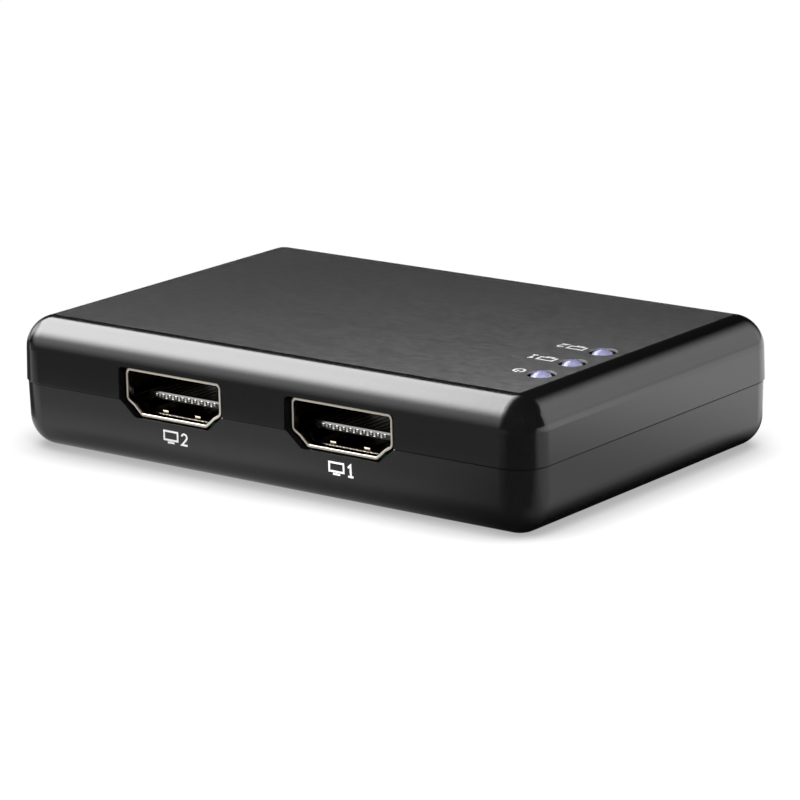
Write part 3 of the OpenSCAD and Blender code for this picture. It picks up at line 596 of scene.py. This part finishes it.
def sweep_round(bm, corners, section, flare=(1.0, 1.0)):
    """Carries a closed section round an outline that opens out towards the mouth by the flare."""
    middle = max(z for _, z, _ in corners) / 2
    rings = []
    for grow, depth in section:
        opening = max(0.0, 1 - depth / FLARE_LENGTH) ** 2
        wide = 1 + (flare[0] - 1) * opening
        tall = 1 + (flare[1] - 1) * opening
        ring = []
        for p in outline(corners, grow):
            ring.append(bm.verts.new((p.x * wide, depth, SHEET + middle + (p.y - middle) * tall)))
        rings.append(ring)
    for i, ring in enumerate(rings):
        join_rings(bm, ring, rings[(i + 1) % len(rings)])


print("points in a shell's section:", len(shell_section(SHELL_LENGTH)))

# %% [markdown]
# Spring fingers are cut from the same sheet. Each rises from the shell's wall, bows in to press on the
# plug and curls back at its tip. A finger is a bent strip: a path in depth and height, thickened to both
# sides and given a width. The same helper later bends the contacts.

# %% Bent strips
def thick_path(points, thickness):
    """The two sides of a path that has a thickness."""
    upper, lower = [], []
    for i, p in enumerate(points):
        before = points[max(i - 1, 0)]
        after = points[min(i + 1, len(points) - 1)]
        along = (after - before).normalized()
        out = Vector((-along.y, along.x)) * thickness / 2
        upper.append(p + out)
        lower.append(p - out)
    return upper, lower


def round_path(points, radius, steps=4):
    """A path of straight lines with its bends rounded."""
    path = [points[0]]
    for before, bend, after in zip(points, points[1:], points[2:]):
        back = (before - bend).normalized()
        ahead = (after - bend).normalized()
        reach = min(radius, (before - bend).length / 2.1, (after - bend).length / 2.1)
        start, end = bend + back * reach, bend + ahead * reach
        for step in range(steps + 1):
            t = step / steps
            path.append((1 - t) ** 2 * start + 2 * t * (1 - t) * bend + t ** 2 * end)
    return path + [points[-1]]


def bent_strip(bm, points, width, thickness, radius, place=Matrix()):
    """A strip of that width along a path of depth and height."""
    path = round_path([Vector(p) for p in points], radius)
    upper, lower = thick_path(path, thickness)
    loop = upper + lower[::-1]
    sides = []
    for x in (-width / 2, width / 2):
        sides.append([bm.verts.new(place @ Vector((x, p.x, p.y))) for p in loop])
    join_rings(bm, *sides)
    count = len(loop)
    for side in sides:
        for i in range(len(upper) - 1):
            bm.faces.new((side[i], side[i + 1], side[count - 2 - i], side[count - 1 - i]))


print("strip helper ready")

# %% [markdown]
# Each HDMI shell has four spring fingers, and four legs that are soldered into the board's slots. They
# could be pieces of their own, but on a real shell they are one with the sheet, so they share its mesh.

# %% Finished shells
HDMI_SOCKETS = ("hdmi_output_1", "hdmi_output_2", "hdmi_input")
CASE_BACK = ("hdmi_input", "power_socket")
FINGER_WIDTH = 0.8
FINGER_THICKNESS = 0.2
FINGER_BEND = 0.8
FINGER_PATH = [(6.0, 0.0), (5.2, 0.03), (2.7, 0.20), (2.0, 0.20), (1.5, 0.06)]
FINGER_X = 2.5
LEG_X = 7.15
LEG_DEPTHS = (3.8, 9.4)
LEG_SIZE = (0.3, 1.4)
LEG_TAPER = 0.25
LEG_TOP = 1.9
LEG_FOOT = -2.4


def add_block(bm, low, high, taper=0.0):
    """A box whose lowest face is drawn in along Y by the taper."""
    corners = []
    for z, inset in ((low[2], taper), (high[2], 0.0)):
        front, back = low[1] + inset, high[1] - inset
        for x, y in ((low[0], front), (high[0], front), (high[0], back), (low[0], back)):
            corners.append(bm.verts.new((x, y, z)))
    for face in ((0, 1, 2, 3), (4, 5, 6, 7), (0, 1, 5, 4), (1, 2, 6, 5), (2, 3, 7, 6), (3, 0, 4, 7)):
        bm.faces.new([corners[i] for i in face])


def socket_place(name):
    """Where a socket's mouth is: its middle, facing out of the front or the back of the case."""
    low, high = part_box(name + "_shell")
    board_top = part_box("circuit_board")[1].z
    middle = (low.x + high.x) / 2
    if name in CASE_BACK:
        turned = Matrix.Translation((middle, high.y, board_top)) @ Matrix.Rotation(math.pi, 4, "Z")
        return turned @ Matrix.Scale(MM, 4)
    return Matrix.Translation((middle, low.y, board_top)) @ Matrix.Scale(MM, 4)


def finish_mesh(bm, name, place, smooth_angle=40):
    """A plain mesh in the shared frame, with outward faces and sharp edges kept sharp."""
    bmesh.ops.remove_doubles(bm, verts=bm.verts, dist=1e-5)
    bmesh.ops.recalc_face_normals(bm, faces=bm.faces)
    bm.transform(place)
    mesh = bpy.data.meshes.new(name)
    bm.to_mesh(mesh)
    bm.free()
    mesh.shade_smooth()
    mesh.set_sharp_from_angle(angle=math.radians(smooth_angle))
    return mesh


def finger_places(size):
    """Two fingers on the floor and two under the roof."""
    roof = Matrix.Translation((0, 0, size["h"] + SHEET)) @ Matrix.Rotation(math.pi, 4, "Y")
    places = []
    for x in (-FINGER_X, FINGER_X):
        places.append(Matrix.Translation((x, 0, SHEET)))
        places.append(roof @ Matrix.Translation((x, 0, 0)))
    return places


def hdmi_shell(name):
    """The mesh of an HDMI shell with its fingers and legs."""
    bm = bmesh.new()
    sweep_round(bm, HDMI, shell_section(SHELL_LENGTH), HDMI_FLARE)
    for place in finger_places(HDMI_SIZE):
        bent_strip(bm, FINGER_PATH, FINGER_WIDTH, FINGER_THICKNESS, FINGER_BEND, place)
    for x in (-LEG_X, LEG_X):
        for depth in LEG_DEPTHS:
            low = (x - LEG_SIZE[0] / 2, depth - LEG_SIZE[1] / 2, LEG_FOOT)
            high = (low[0] + LEG_SIZE[0], low[1] + LEG_SIZE[1], LEG_TOP)
            add_block(bm, low, high, LEG_TAPER)
    return finish_mesh(bm, name, socket_place(name))


def take_over(name, mesh, material, node):
    """A piece that stands for a CAD node."""
    piece = mesh_object(name, mesh, material)
    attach(piece, "root")
    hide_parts(node)


for name in HDMI_SOCKETS:
    take_over(name + "_plated_shell", hdmi_shell(name), plated_shell, name + "_shell")
power_bm = bmesh.new()
sweep_round(power_bm, POWER, shell_section(POWER_LENGTH))
power_mesh = finish_mesh(power_bm, "power_socket", socket_place("power_socket"))
take_over("power_socket_plated_shell", power_mesh, plated_shell, "power_socket_shell")

# %% [markdown]
# Inside a shell sits a black moulded block with a tongue. The tongue's front edges are chamfered, and the
# upper one shines as a thin line. The block is the mouth's own outline, a hair smaller, closed at both
# ends. The plastic is very dark and a little glossy, with a fine speckle.

# %% Insulators
BLOCK_START = 7.5
BLOCK_END = 11.2
BLOCK_FIT = -0.05
INSULATOR_SHARP = 20
PLASTIC_DARK = (0.002, 0.002, 0.002)
PLASTIC_LIGHT = (0.005, 0.005, 0.006)
SPECK_DEPTH = 0.001 * MM
TONGUE_HALF = 5.6
TONGUE_SIDE = [(7.9, 1.45), (2.38, 1.45), (2.30, 1.53), (2.30, 2.13), (2.44, 2.35), (7.9, 2.35)]


def speckled_material(name, dark, light, rough, size, ior=1.5):
    """Plastic or ceramic with a fine speckle and a soft uneven gloss."""
    material, tree, place = new_tree(name)
    speck = noise(tree, place, size, 3.0)
    cloud = noise(tree, place, size / 20, 2.0)
    coat(tree, {
        "Base Color": blend_colour(tree, speck, (*dark, 1.0), (*light, 1.0)),
        "Roughness": blend_value(tree, cloud, rough * 0.8, min(rough * 1.25, 1.0)),
        "IOR": ior,
        "Normal": bump(tree, speck, SPECK_DEPTH),
    })
    return material


def prism(bm, first, second):
    """A closed body between two rings."""
    join_rings(bm, first, second)
    bm.faces.new(first)
    bm.faces.new(second)


def insulator(name):
    """The mesh of a block with its tongue."""
    bm = bmesh.new()
    rims = []
    for depth in (BLOCK_START, BLOCK_END):
        rims.append([bm.verts.new((p.x, depth, p.y + SHEET)) for p in outline(HDMI, BLOCK_FIT)])
    prism(bm, *rims)
    ends = []
    for x in (-TONGUE_HALF, TONGUE_HALF):
        ends.append([bm.verts.new((x, depth, height)) for depth, height in TONGUE_SIDE])
    prism(bm, *ends)
    return finish_mesh(bm, name, socket_place(name), INSULATOR_SHARP)


socket_plastic = speckled_material("socket_plastic", PLASTIC_DARK, PLASTIC_LIGHT, 0.12, 9000.0, 1.65)
for name in HDMI_SOCKETS:
    tongue = insulator(name)
    take_over(name + "_moulded_tongue", tongue, socket_plastic, name + "_insulator")
dress("power_socket_insulator", socket_plastic)
print("tongue width in mm:", 2 * TONGUE_HALF)

# %% [markdown]
# Nineteen contacts lie on a tongue, ten above and nine below, half a millimetre apart in turn.
# One contact of each kind is bent as a strip. A Geometry Nodes tree then sets them out in two rows:
# Mesh Line gives the places, Instance on Points puts a contact on each, and the rows are joined and made
# real. The tree's inputs are the counts, the pitch, the two contacts and their metal.

# %% Contact tree
CONTACT_WIDTH = 0.26
CONTACT_THICKNESS = 0.15
CONTACT_BEND = 0.06
ROW_PITCH = 1.0
UPPER_COUNT = 10
LOWER_COUNT = 9
BACK_PATH = [(11.275, 0.075), (12.15, 0.075)]
UPPER_PATH = [(2.345, 1.78), (2.345, 2.10), (2.75, 2.20), (3.1, 2.305), (11.275, 2.305)] + BACK_PATH
LOWER_PATH = [(2.345, 2.10), (2.345, 1.66), (2.75, 1.60), (3.1, 1.495), (11.275, 1.495)] + BACK_PATH


def geometry_tree(name, inputs):
    """A new Geometry Nodes tree with named inputs, and the sockets that give them."""
    tree = bpy.data.node_groups.new(name, "GeometryNodeTree")
    tree.interface.new_socket("Geometry", in_out="OUTPUT", socket_type="NodeSocketGeometry")
    for label, kind in inputs.items():
        tree.interface.new_socket(label, in_out="INPUT", socket_type="NodeSocket" + kind)
    return tree, add(tree, "NodeGroupInput").outputs


def copies_on_line(tree, copied, count, first, pace):
    """Copies of an object on the points of a line."""
    line = add(tree, "GeometryNodeMeshLine", {"Count": count, "Start Location": first, "Offset": pace})
    shape = add(tree, "GeometryNodeObjectInfo", {"Object": copied}).outputs["Geometry"]
    inputs = {"Points": line.outputs[0], "Instance": shape}
    return add(tree, "GeometryNodeInstanceOnPoints", inputs).outputs[0]


def end_tree(tree, copies, material):
    """Makes the copies real, gives them a material and ends the tree."""
    real = add(tree, "GeometryNodeRealizeInstances", {0: copies}).outputs[0]
    coated = add(tree, "GeometryNodeSetMaterial", {"Geometry": real, "Material": material})
    add(tree, "NodeGroupOutput", {0: coated.outputs[0]})


def contact_rows_tree():
    """A tree that sets out an upper and a lower row, each about the middle."""
    tree, given = geometry_tree("contact_rows", {
        "Upper Contact": "Object",
        "Upper Count": "Int",
        "Lower Contact": "Object",
        "Lower Count": "Int",
        "Pitch": "Float",
        "Material": "Material",
    })
    joined = add(tree, "GeometryNodeJoinGeometry")
    pace = add(tree, "ShaderNodeCombineXYZ", {"X": given["Pitch"]}).outputs[0]
    for row in ("Upper", "Lower"):
        count = given[row + " Count"]
        gaps = math_node(tree, "SUBTRACT", count, 1.0)
        start = product(tree, gaps, given["Pitch"], -0.5)
        first = add(tree, "ShaderNodeCombineXYZ", {"X": start}).outputs[0]
        tree.links.new(copies_on_line(tree, given[row + " Contact"], count, first, pace), joined.inputs[0])
    end_tree(tree, joined.outputs[0], given["Material"])
    return tree


def applied(made):
    """An object's mesh with its modifiers worked out."""
    depsgraph = bpy.context.evaluated_depsgraph_get()
    mesh = bpy.data.meshes.new_from_object(made.evaluated_get(depsgraph), depsgraph=depsgraph)
    made.modifiers.clear()
    return mesh


def grow_mesh(name, tree, values):
    """Runs a Geometry Nodes tree with named inputs and returns its result as a plain mesh."""
    host = linked(name + "_host", bpy.data.meshes.new(name + "_host"))
    modifier = host.modifiers.new("grow", "NODES")
    modifier.node_group = tree
    for item in tree.interface.items_tree:
        if item.in_out == "INPUT" and item.name in values:
            modifier[item.identifier] = values[item.name]
    mesh = applied(host)
    bpy.data.objects.remove(host)
    mesh.name = name
    return mesh


contact_tree = contact_rows_tree()
print("nodes in the contact tree:", len(contact_tree.nodes))

# %% [markdown]
# The same two strips serve all three sockets, so they are bent once, as loose objects in millimetres. The
# tree's result becomes a plain mesh and is moved to each mouth, since a finished piece lies at the origin.

# %% Contact rows
def loose_object(name, bm):
    """A helper object that a tree copies, in millimetres."""
    return linked(name, finish_mesh(bm, name, Matrix()))


def bent_contact(name, path):
    """One contact as a loose object."""
    bm = bmesh.new()
    bent_strip(bm, path, CONTACT_WIDTH, CONTACT_THICKNESS, CONTACT_BEND)
    return loose_object(name, bm)


upper_contact = bent_contact("upper_contact", UPPER_PATH)
lower_contact = bent_contact("lower_contact", LOWER_PATH)
row_values = {
    "Upper Contact": upper_contact,
    "Lower Contact": lower_contact,
    "Upper Count": UPPER_COUNT,
    "Lower Count": LOWER_COUNT,
    "Pitch": ROW_PITCH,
    "Material": contact_metal,
}
for name in HDMI_SOCKETS:
    row_mesh = grow_mesh(name + "_contact_rows", contact_tree, row_values)
    row_mesh.transform(socket_place(name))
    take_over(name + "_contact_rows", row_mesh, contact_metal, name + "_contacts")
dress("power_socket_contacts", contact_metal)
for used in (upper_contact, lower_contact):
    bpy.data.objects.remove(used)
print("contacts in a socket:", UPPER_COUNT + LOWER_COUNT)

# %% [markdown]
# The lamps are half-clear 3 mm bodies with a faint lilac cast. Their CAD shape is right: flange, barrel and
# dome. The plastic lets light in, so a small pale cup with its chip stands inside each, as in a real one.
# The cups repeat, so a tree sets out three of them along a line.

# %% Lamps
LAMPS = ("power_led", "output_1_led", "output_2_led")
LENS_DARK = (0.48, 0.48, 0.80, 1.0)
LENS_LIGHT = (0.66, 0.66, 0.92, 1.0)
LENS_ROUGH = (0.03, 0.08)
LENS_OPTICS = {"IOR": 1.5, "Transmission Weight": 0.66}
LENS_NOISE = (900.0, 2.0)
SKIN_GRAIN = 0.002 * MM
CUP_STEPS = 24
CUP_PROFILE = [(0.35, 0.0), (0.35, 1.6), (0.95, 2.5), (0.95, 2.6),
               (0.75, 2.6), (0.35, 2.2), (0.16, 2.2), (0.16, 2.36)]


def skin_material(name, pattern, dark, light, rough, more):
    """A material in which one noise varies the colour, the gloss and the height."""
    material, tree, place = new_tree(name)
    speck = noise(tree, place, *pattern)
    coat(tree, {
        "Base Color": blend_colour(tree, speck, dark, light),
        "Roughness": blend_value(tree, speck, *rough),
        "Normal": bump(tree, speck, SKIN_GRAIN),
        **more,
    })
    return material


def lathe(bm, profile, steps=32):
    """Turns a profile of radius and height about the upright axis."""
    rings = []
    for radius, height in profile:
        ring = []
        for step in range(steps):
            angle = 2 * math.pi * step / steps
            ring.append(bm.verts.new((radius * math.cos(angle), radius * math.sin(angle), height)))
        rings.append(ring)
    for low, high in zip(rings, rings[1:]):
        join_rings(bm, low, high)
    bm.faces.new(rings[0][::-1])
    bm.faces.new(rings[-1])


def spaced_tree(name):
    """A tree that sets copies of an object along a line."""
    tree, given = geometry_tree(name, {
        "Copy": "Object",
        "Count": "Int",
        "First": "Vector",
        "Pace": "Vector",
        "Material": "Material",
    })
    copies = copies_on_line(tree, given["Copy"], given["Count"], given["First"], given["Pace"])
    end_tree(tree, copies, given["Material"])
    return tree


def box_middle(node):
    """The middle of a CAD node's box."""
    low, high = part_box(node)
    return (low + high) / 2


lamp_lens = skin_material("lamp_lens", LENS_NOISE, LENS_DARK, LENS_LIGHT, LENS_ROUGH, LENS_OPTICS)
for name in LAMPS:
    dress(name, lamp_lens)
cup_material = speckled_material("lamp_cup", (0.55, 0.55, 0.68), (0.78, 0.78, 0.88), 0.25, 4000.0)
cup_bm = bmesh.new()
lathe(cup_bm, CUP_PROFILE, CUP_STEPS)
cup = loose_object("cup", cup_bm)
cup_first = box_middle(LAMPS[0])
cup_pace = box_middle(LAMPS[1]) - cup_first
cup_first.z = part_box(LAMPS[0])[0].z
spaced = spaced_tree("spaced_copies")
cup_values = {
    "Copy": cup,
    "Count": len(LAMPS),
    "First": cup_first / MM,
    "Pace": cup_pace / MM,
    "Material": cup_material,
}
cups_mesh = grow_mesh("lamp_cups", spaced, cup_values)
cups_mesh.transform(Matrix.Scale(MM, 4))
lamp_cups = mesh_object("lamp_cups", cups_mesh, cup_material)
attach(lamp_cups, "root")
bpy.data.objects.remove(cup)
print("lamp pitch in mm:", round(cup_pace.length / MM, 2))

# %% [markdown]
# Four self-tapping screws hold the case from below. Only their heads can be seen, in round recesses in
# the base. Each is turned as a profile with a domed head, and a cross is cut into the head. The thread
# is a stack of shallow ridges. The same tree as for the lamps sets out two rows of two.

# %% Screws
HEAD_RADIUS = 2.0
HEAD_HEIGHT = 1.5
HEAD_PROFILE = [(0.02, -1.5), (1.1, -1.5), (1.55, -1.38), (1.85, -1.1),
                (1.98, -0.7), (2.0, -0.2), (1.96, 0.0)]
THREAD_START = 0.4
THREAD_END = 6.9
THREAD_PITCH = 0.8
THREAD_CORE = 0.78
THREAD_CREST = 1.08
CREST_START = 0.34
CREST_END = 0.42
SCREW_TIP = [(THREAD_CORE, 7.1), (0.5, 7.9), (0.1, 8.0)]
SCREW_SHARP = 30
SCREWS_IN_ROW = 2
CROSS_ARM = 1.0
CROSS_HALF = 0.26
CROSS_DEPTH = 0.75
CROSS_START = -2.0


def screw_profile():
    """Domed head, ridges and tip, as pairs of radius and height over the head's seat."""
    profile = HEAD_PROFILE + [(THREAD_CORE, 0.0)]
    z = THREAD_START
    while z < THREAD_END:
        profile += [(THREAD_CORE, z), (THREAD_CREST, z + CREST_START), (THREAD_CREST, z + CREST_END)]
        z += THREAD_PITCH
    return profile + SCREW_TIP


def cut(target, cutters):
    """Takes the cutters out of an object and removes them."""
    for cutter in cutters:
        modifier = target.modifiers.new("cut", "BOOLEAN")
        modifier.operation = "DIFFERENCE"
        modifier.solver = "EXACT"
        modifier.object = cutter
    target.data = applied(target)
    for cutter in cutters:
        bpy.data.objects.remove(cutter)


screw_bm = bmesh.new()
lathe(screw_bm, screw_profile())
screw = loose_object("screw", screw_bm)
arms = []
for long_x, long_y in ((CROSS_ARM, CROSS_HALF), (CROSS_HALF, CROSS_ARM)):
    arm = bmesh.new()
    add_block(arm, (-long_x, -long_y, CROSS_START), (long_x, long_y, CROSS_DEPTH - HEAD_HEIGHT))
    arms.append(loose_object("arm", arm))
cut(screw, arms)
screw_low, screw_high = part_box("case_screws")
head_radius = HEAD_RADIUS * MM
head_z = screw_low.z + HEAD_HEIGHT * MM
screw_meshes = bmesh.new()
for x in (screw_low.x + head_radius, screw_high.x - head_radius):
    first = Vector((x, screw_low.y + head_radius, head_z)) / MM
    pace = Vector((0, screw_high.y - screw_low.y - 2 * head_radius, 0)) / MM
    values = {"Copy": screw, "Count": SCREWS_IN_ROW, "First": first, "Pace": pace, "Material": screw_steel}
    pair = grow_mesh("screw_pair", spaced, values)
    screw_meshes.from_mesh(pair)
    bpy.data.meshes.remove(pair)
screws_mesh = finish_mesh(screw_meshes, "threaded_screws", Matrix.Scale(MM, 4), SCREW_SHARP)
take_over("threaded_screws", screws_mesh, screw_steel, "case_screws")
bpy.data.objects.remove(screw)
print("screw faces:", len(screws_mesh.polygons))

# %% [markdown]
# White marks tell the sockets and lamps apart: a small screen with a plain number for each output, and
# the common ring-and-bar sign for power. On the real case such marks are pad-printed, a hundredth of a
# millimetre thick. They are flat outlines that are laid on the case, point by point.

# %% Ink
INK_RISE = 0.012
STROKE = 0.24
INK_ROUGH = (0.45, 0.65)
INK_NOISE = (5000.0, 3.0)


def line_strip(bm, points, closed):
    """A flat line of even width through points of X and Y."""
    flat = [Vector(p) for p in points]
    count = len(flat)
    rows = []
    for i, p in enumerate(flat):
        before = flat[i - 1] if closed or i > 0 else p
        after = flat[(i + 1) % count] if closed or i < count - 1 else p
        into = (p - before).normalized() if p != before else (after - p).normalized()
        out = (after - p).normalized() if p != after else into
        normal_in = Vector((-into.y, into.x))
        normal_out = Vector((-out.y, out.x))
        reach = (normal_in + normal_out) / (1 + normal_in.dot(normal_out)) * STROKE / 2
        rows.append([bm.verts.new((*(p + reach), 0)), bm.verts.new((*(p - reach), 0))])
    for i in range(count if closed else count - 1):
        j = (i + 1) % count
        bm.faces.new((rows[i][0], rows[i][1], rows[j][1], rows[j][0]))


def arc(centre, radius, start, end, steps):
    """Points along an arc, in degrees."""
    points = []
    for step in range(steps + 1):
        angle = math.radians(start + (end - start) * step / steps)
        points.append((centre[0] + radius * math.cos(angle), centre[1] + radius * math.sin(angle)))
    return points


def draw_sign(bm, lines, left, size):
    """Draws lines that are given in units of the sign's height. A line that ends at its start is closed."""
    for points in lines:
        closed = points[0] == points[-1]
        kept = points[:-1] if closed else points
        line_strip(bm, [(left + x * size, y * size) for x, y in kept], closed)


def output_sign(digit):
    """A screen on its foot with a plain number beside it."""
    return SCREEN + [[(x + NUMERAL_LEFT, y) for x, y in points] for points in NUMERALS[digit]]


SCREEN = [
    [(0, 0.26), (1.45, 0.26), (1.45, 1), (0, 1), (0, 0.26)],
    [(0.725, 0.26), (0.725, 0.05)],
    [(0.365, 0.05), (1.085, 0.05)],
]
NUMERAL_LEFT = 1.9
NUMERALS = {
    1: [[(0, 0.78), (0.26, 1), (0.26, 0.05)], [(0, 0.05), (0.52, 0.05)]],
    2: [arc((0.28, 0.72), 0.27, 170, -38, 14) + [(0, 0.05), (0.58, 0.05)]],
}
POWER_SIGN = [arc((0.5, 0.45), 0.45, 125, 415, 32), [(0.5, 0.5), (0.5, 1.02)]]
print("stroke in mm:", STROKE)

# %% [markdown]
# The front marks sit low, where the leaning wall starts to roll under, so each point is set back to the
# wall's own surface. The marks on top are turned half round, to be read from the back. Each mark is then
# thickened down into the case, which closes it.

# %% Marks on the case
DRAFT = math.radians(1.4)
EDGE_RADIUS = 4.0
SEAM_Z = 8.4
INK_SINK = 1.5
SIGN_WIDTH = 2.45
FRONT_MARK_SIZE = 1.45
FRONT_MARK_Z = 4.0
OUTPUT_1_ASIDE = 0.2
OUTPUT_2_ASIDE = 0.6
TOP_MARK_SIZE = 1.5
TOP_MARK_RIGHT = 29.8
white_ink = skin_material("white_ink", INK_NOISE, grey(0.80), grey(0.92), INK_ROUGH, {})
lower_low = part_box("lower_cover")[0]


def front_depth(z):
    """The lower cover's front surface at a height, in millimetres."""
    seam_y = lower_low.y / MM
    edge_centre_y = seam_y + math.tan(DRAFT) * (SEAM_Z - EDGE_RADIUS) + EDGE_RADIUS / math.cos(DRAFT)
    wall = seam_y + math.tan(DRAFT) * (SEAM_Z - z)
    if z > EDGE_RADIUS * (1 - math.sin(DRAFT)):
        return wall
    return edge_centre_y - math.sqrt(EDGE_RADIUS ** 2 - (EDGE_RADIUS - z) ** 2)


def front_mark(name, lines, middle):
    """A sign under a socket, laid on the front wall."""
    bm = bmesh.new()
    draw_sign(bm, lines, -SIGN_WIDTH * FRONT_MARK_SIZE / 2, FRONT_MARK_SIZE)
    for v in bm.verts:
        z = FRONT_MARK_Z + v.co.y
        v.co = Vector((middle + v.co.x, front_depth(z) - INK_RISE, z))
    ink_piece(name, bm, Vector((0, -1, 0)))


def top_mark(name, lines, lamp):
    """A sign beside a lamp, laid on the top."""
    bm = bmesh.new()
    draw_sign(bm, lines, 0.0, TOP_MARK_SIZE)
    right = min(v.co.x for v in bm.verts)
    middle = (min(v.co.y for v in bm.verts) + max(v.co.y for v in bm.verts)) / 2
    y = box_middle(lamp).y / MM
    for v in bm.verts:
        v.co = Vector((TOP_MARK_RIGHT - (v.co.x - right), y - (v.co.y - middle), TOP_Z / MM + INK_RISE))
    ink_piece(name, bm, Vector((0, 0, 1)))


def ink_piece(name, bm, out):
    """Thickens a flat mark down to the case and makes it a piece."""
    flat = list(bm.faces)
    for face in flat:
        face.normal_update()
        if face.normal.dot(out) < 0:
            face.normal_flip()
    made = bmesh.ops.extrude_face_region(bm, geom=flat)
    for v in made["geom"]:
        if isinstance(v, bmesh.types.BMVert):
            v.co -= out * INK_RISE * INK_SINK
    mesh = finish_mesh(bm, name, Matrix.Scale(MM, 4))
    piece = mesh_object(name, mesh, white_ink)
    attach(piece, "root")


front_mark("output_1_mark", output_sign(1), box_middle("hdmi_output_1_shell").x / MM + OUTPUT_1_ASIDE)
front_mark("output_2_mark", output_sign(2), box_middle("hdmi_output_2_shell").x / MM + OUTPUT_2_ASIDE)
top_mark("power_lamp_mark", POWER_SIGN, "power_led")
top_mark("output_1_lamp_mark", output_sign(1), "output_1_led")
top_mark("output_2_lamp_mark", output_sign(2), "output_2_led")

# %% [markdown]
# The board and its parts are shut inside the case, but anyone who opens the part should find real
# finishes: green lacquer over copper lines, sealed packages, ferrite and ceramics. Each CAD node keeps
# its shape and gets a material of its own kind.

# %% Board lacquer
TRACE_SCALE = 420.0
TRACE_STEP = (0.02, 0.05, 1.0, 0.0)
TRACE_RISE = 0.02 * MM
LACQUER_CLOUD = 300.0
LACQUER_ROUGH = (0.22, 0.34)


def board_material():
    """Green lacquer that shows raised copper lines."""
    material, tree, place = new_tree("board_lacquer")
    inputs = {"Vector": place, "Scale": TRACE_SCALE}
    cells = add(tree, "ShaderNodeTexVoronoi", inputs, feature="DISTANCE_TO_EDGE")
    lines = ramp(tree, cells.outputs[0], *TRACE_STEP)
    cloud = noise(tree, place, LACQUER_CLOUD, 3.0)
    lacquer = blend_colour(tree, cloud, (0.010, 0.085, 0.035, 1.0), (0.016, 0.115, 0.050, 1.0))
    copper = blend_colour(tree, cloud, (0.022, 0.150, 0.060, 1.0), (0.030, 0.180, 0.075, 1.0))
    coat(tree, {
        "Base Color": blend_colour(tree, lines, lacquer, copper),
        "Roughness": blend_value(tree, cloud, *LACQUER_ROUGH),
        "Normal": bump(tree, lines, TRACE_RISE),
    })
    return material


dress("circuit_board", board_material())

# %% [markdown]
# Packages, cores and chips differ in colour, gloss and speckle, so one helper with other values serves
# them all. Leads and the crystal's can are tinned.

# %% Board parts
BOARD_FINISHES = {
    "package_plastic": ((0.010, 0.010, 0.011), (0.024, 0.024, 0.026), 0.55, 12000.0),
    "ferrite": ((0.030, 0.030, 0.032), (0.060, 0.060, 0.062), 0.70, 7000.0),
    "capacitor_ceramic": ((0.34, 0.22, 0.12), (0.44, 0.31, 0.18), 0.45, 6000.0),
    "resistor_film": ((0.008, 0.008, 0.009), (0.020, 0.020, 0.022), 0.35, 6000.0),
}
BOARD_PARTS = {
    "package_plastic": ("splitter_chip", "voltage_regulator", "memory_chip", "surge_arrays"),
    "ferrite": ("power_inductor",),
    "capacitor_ceramic": ("ceramic_capacitors",),
    "resistor_film": ("resistors",),
}
for slot, values in BOARD_FINISHES.items():
    finish = speckled_material(slot, *values)
    for node in BOARD_PARTS[slot]:
        dress(node, finish)
for node in ("splitter_chip_leads", "led_leads", "crystal"):
    dress(node, tinned)
dress("bulk_capacitors", can_metal)
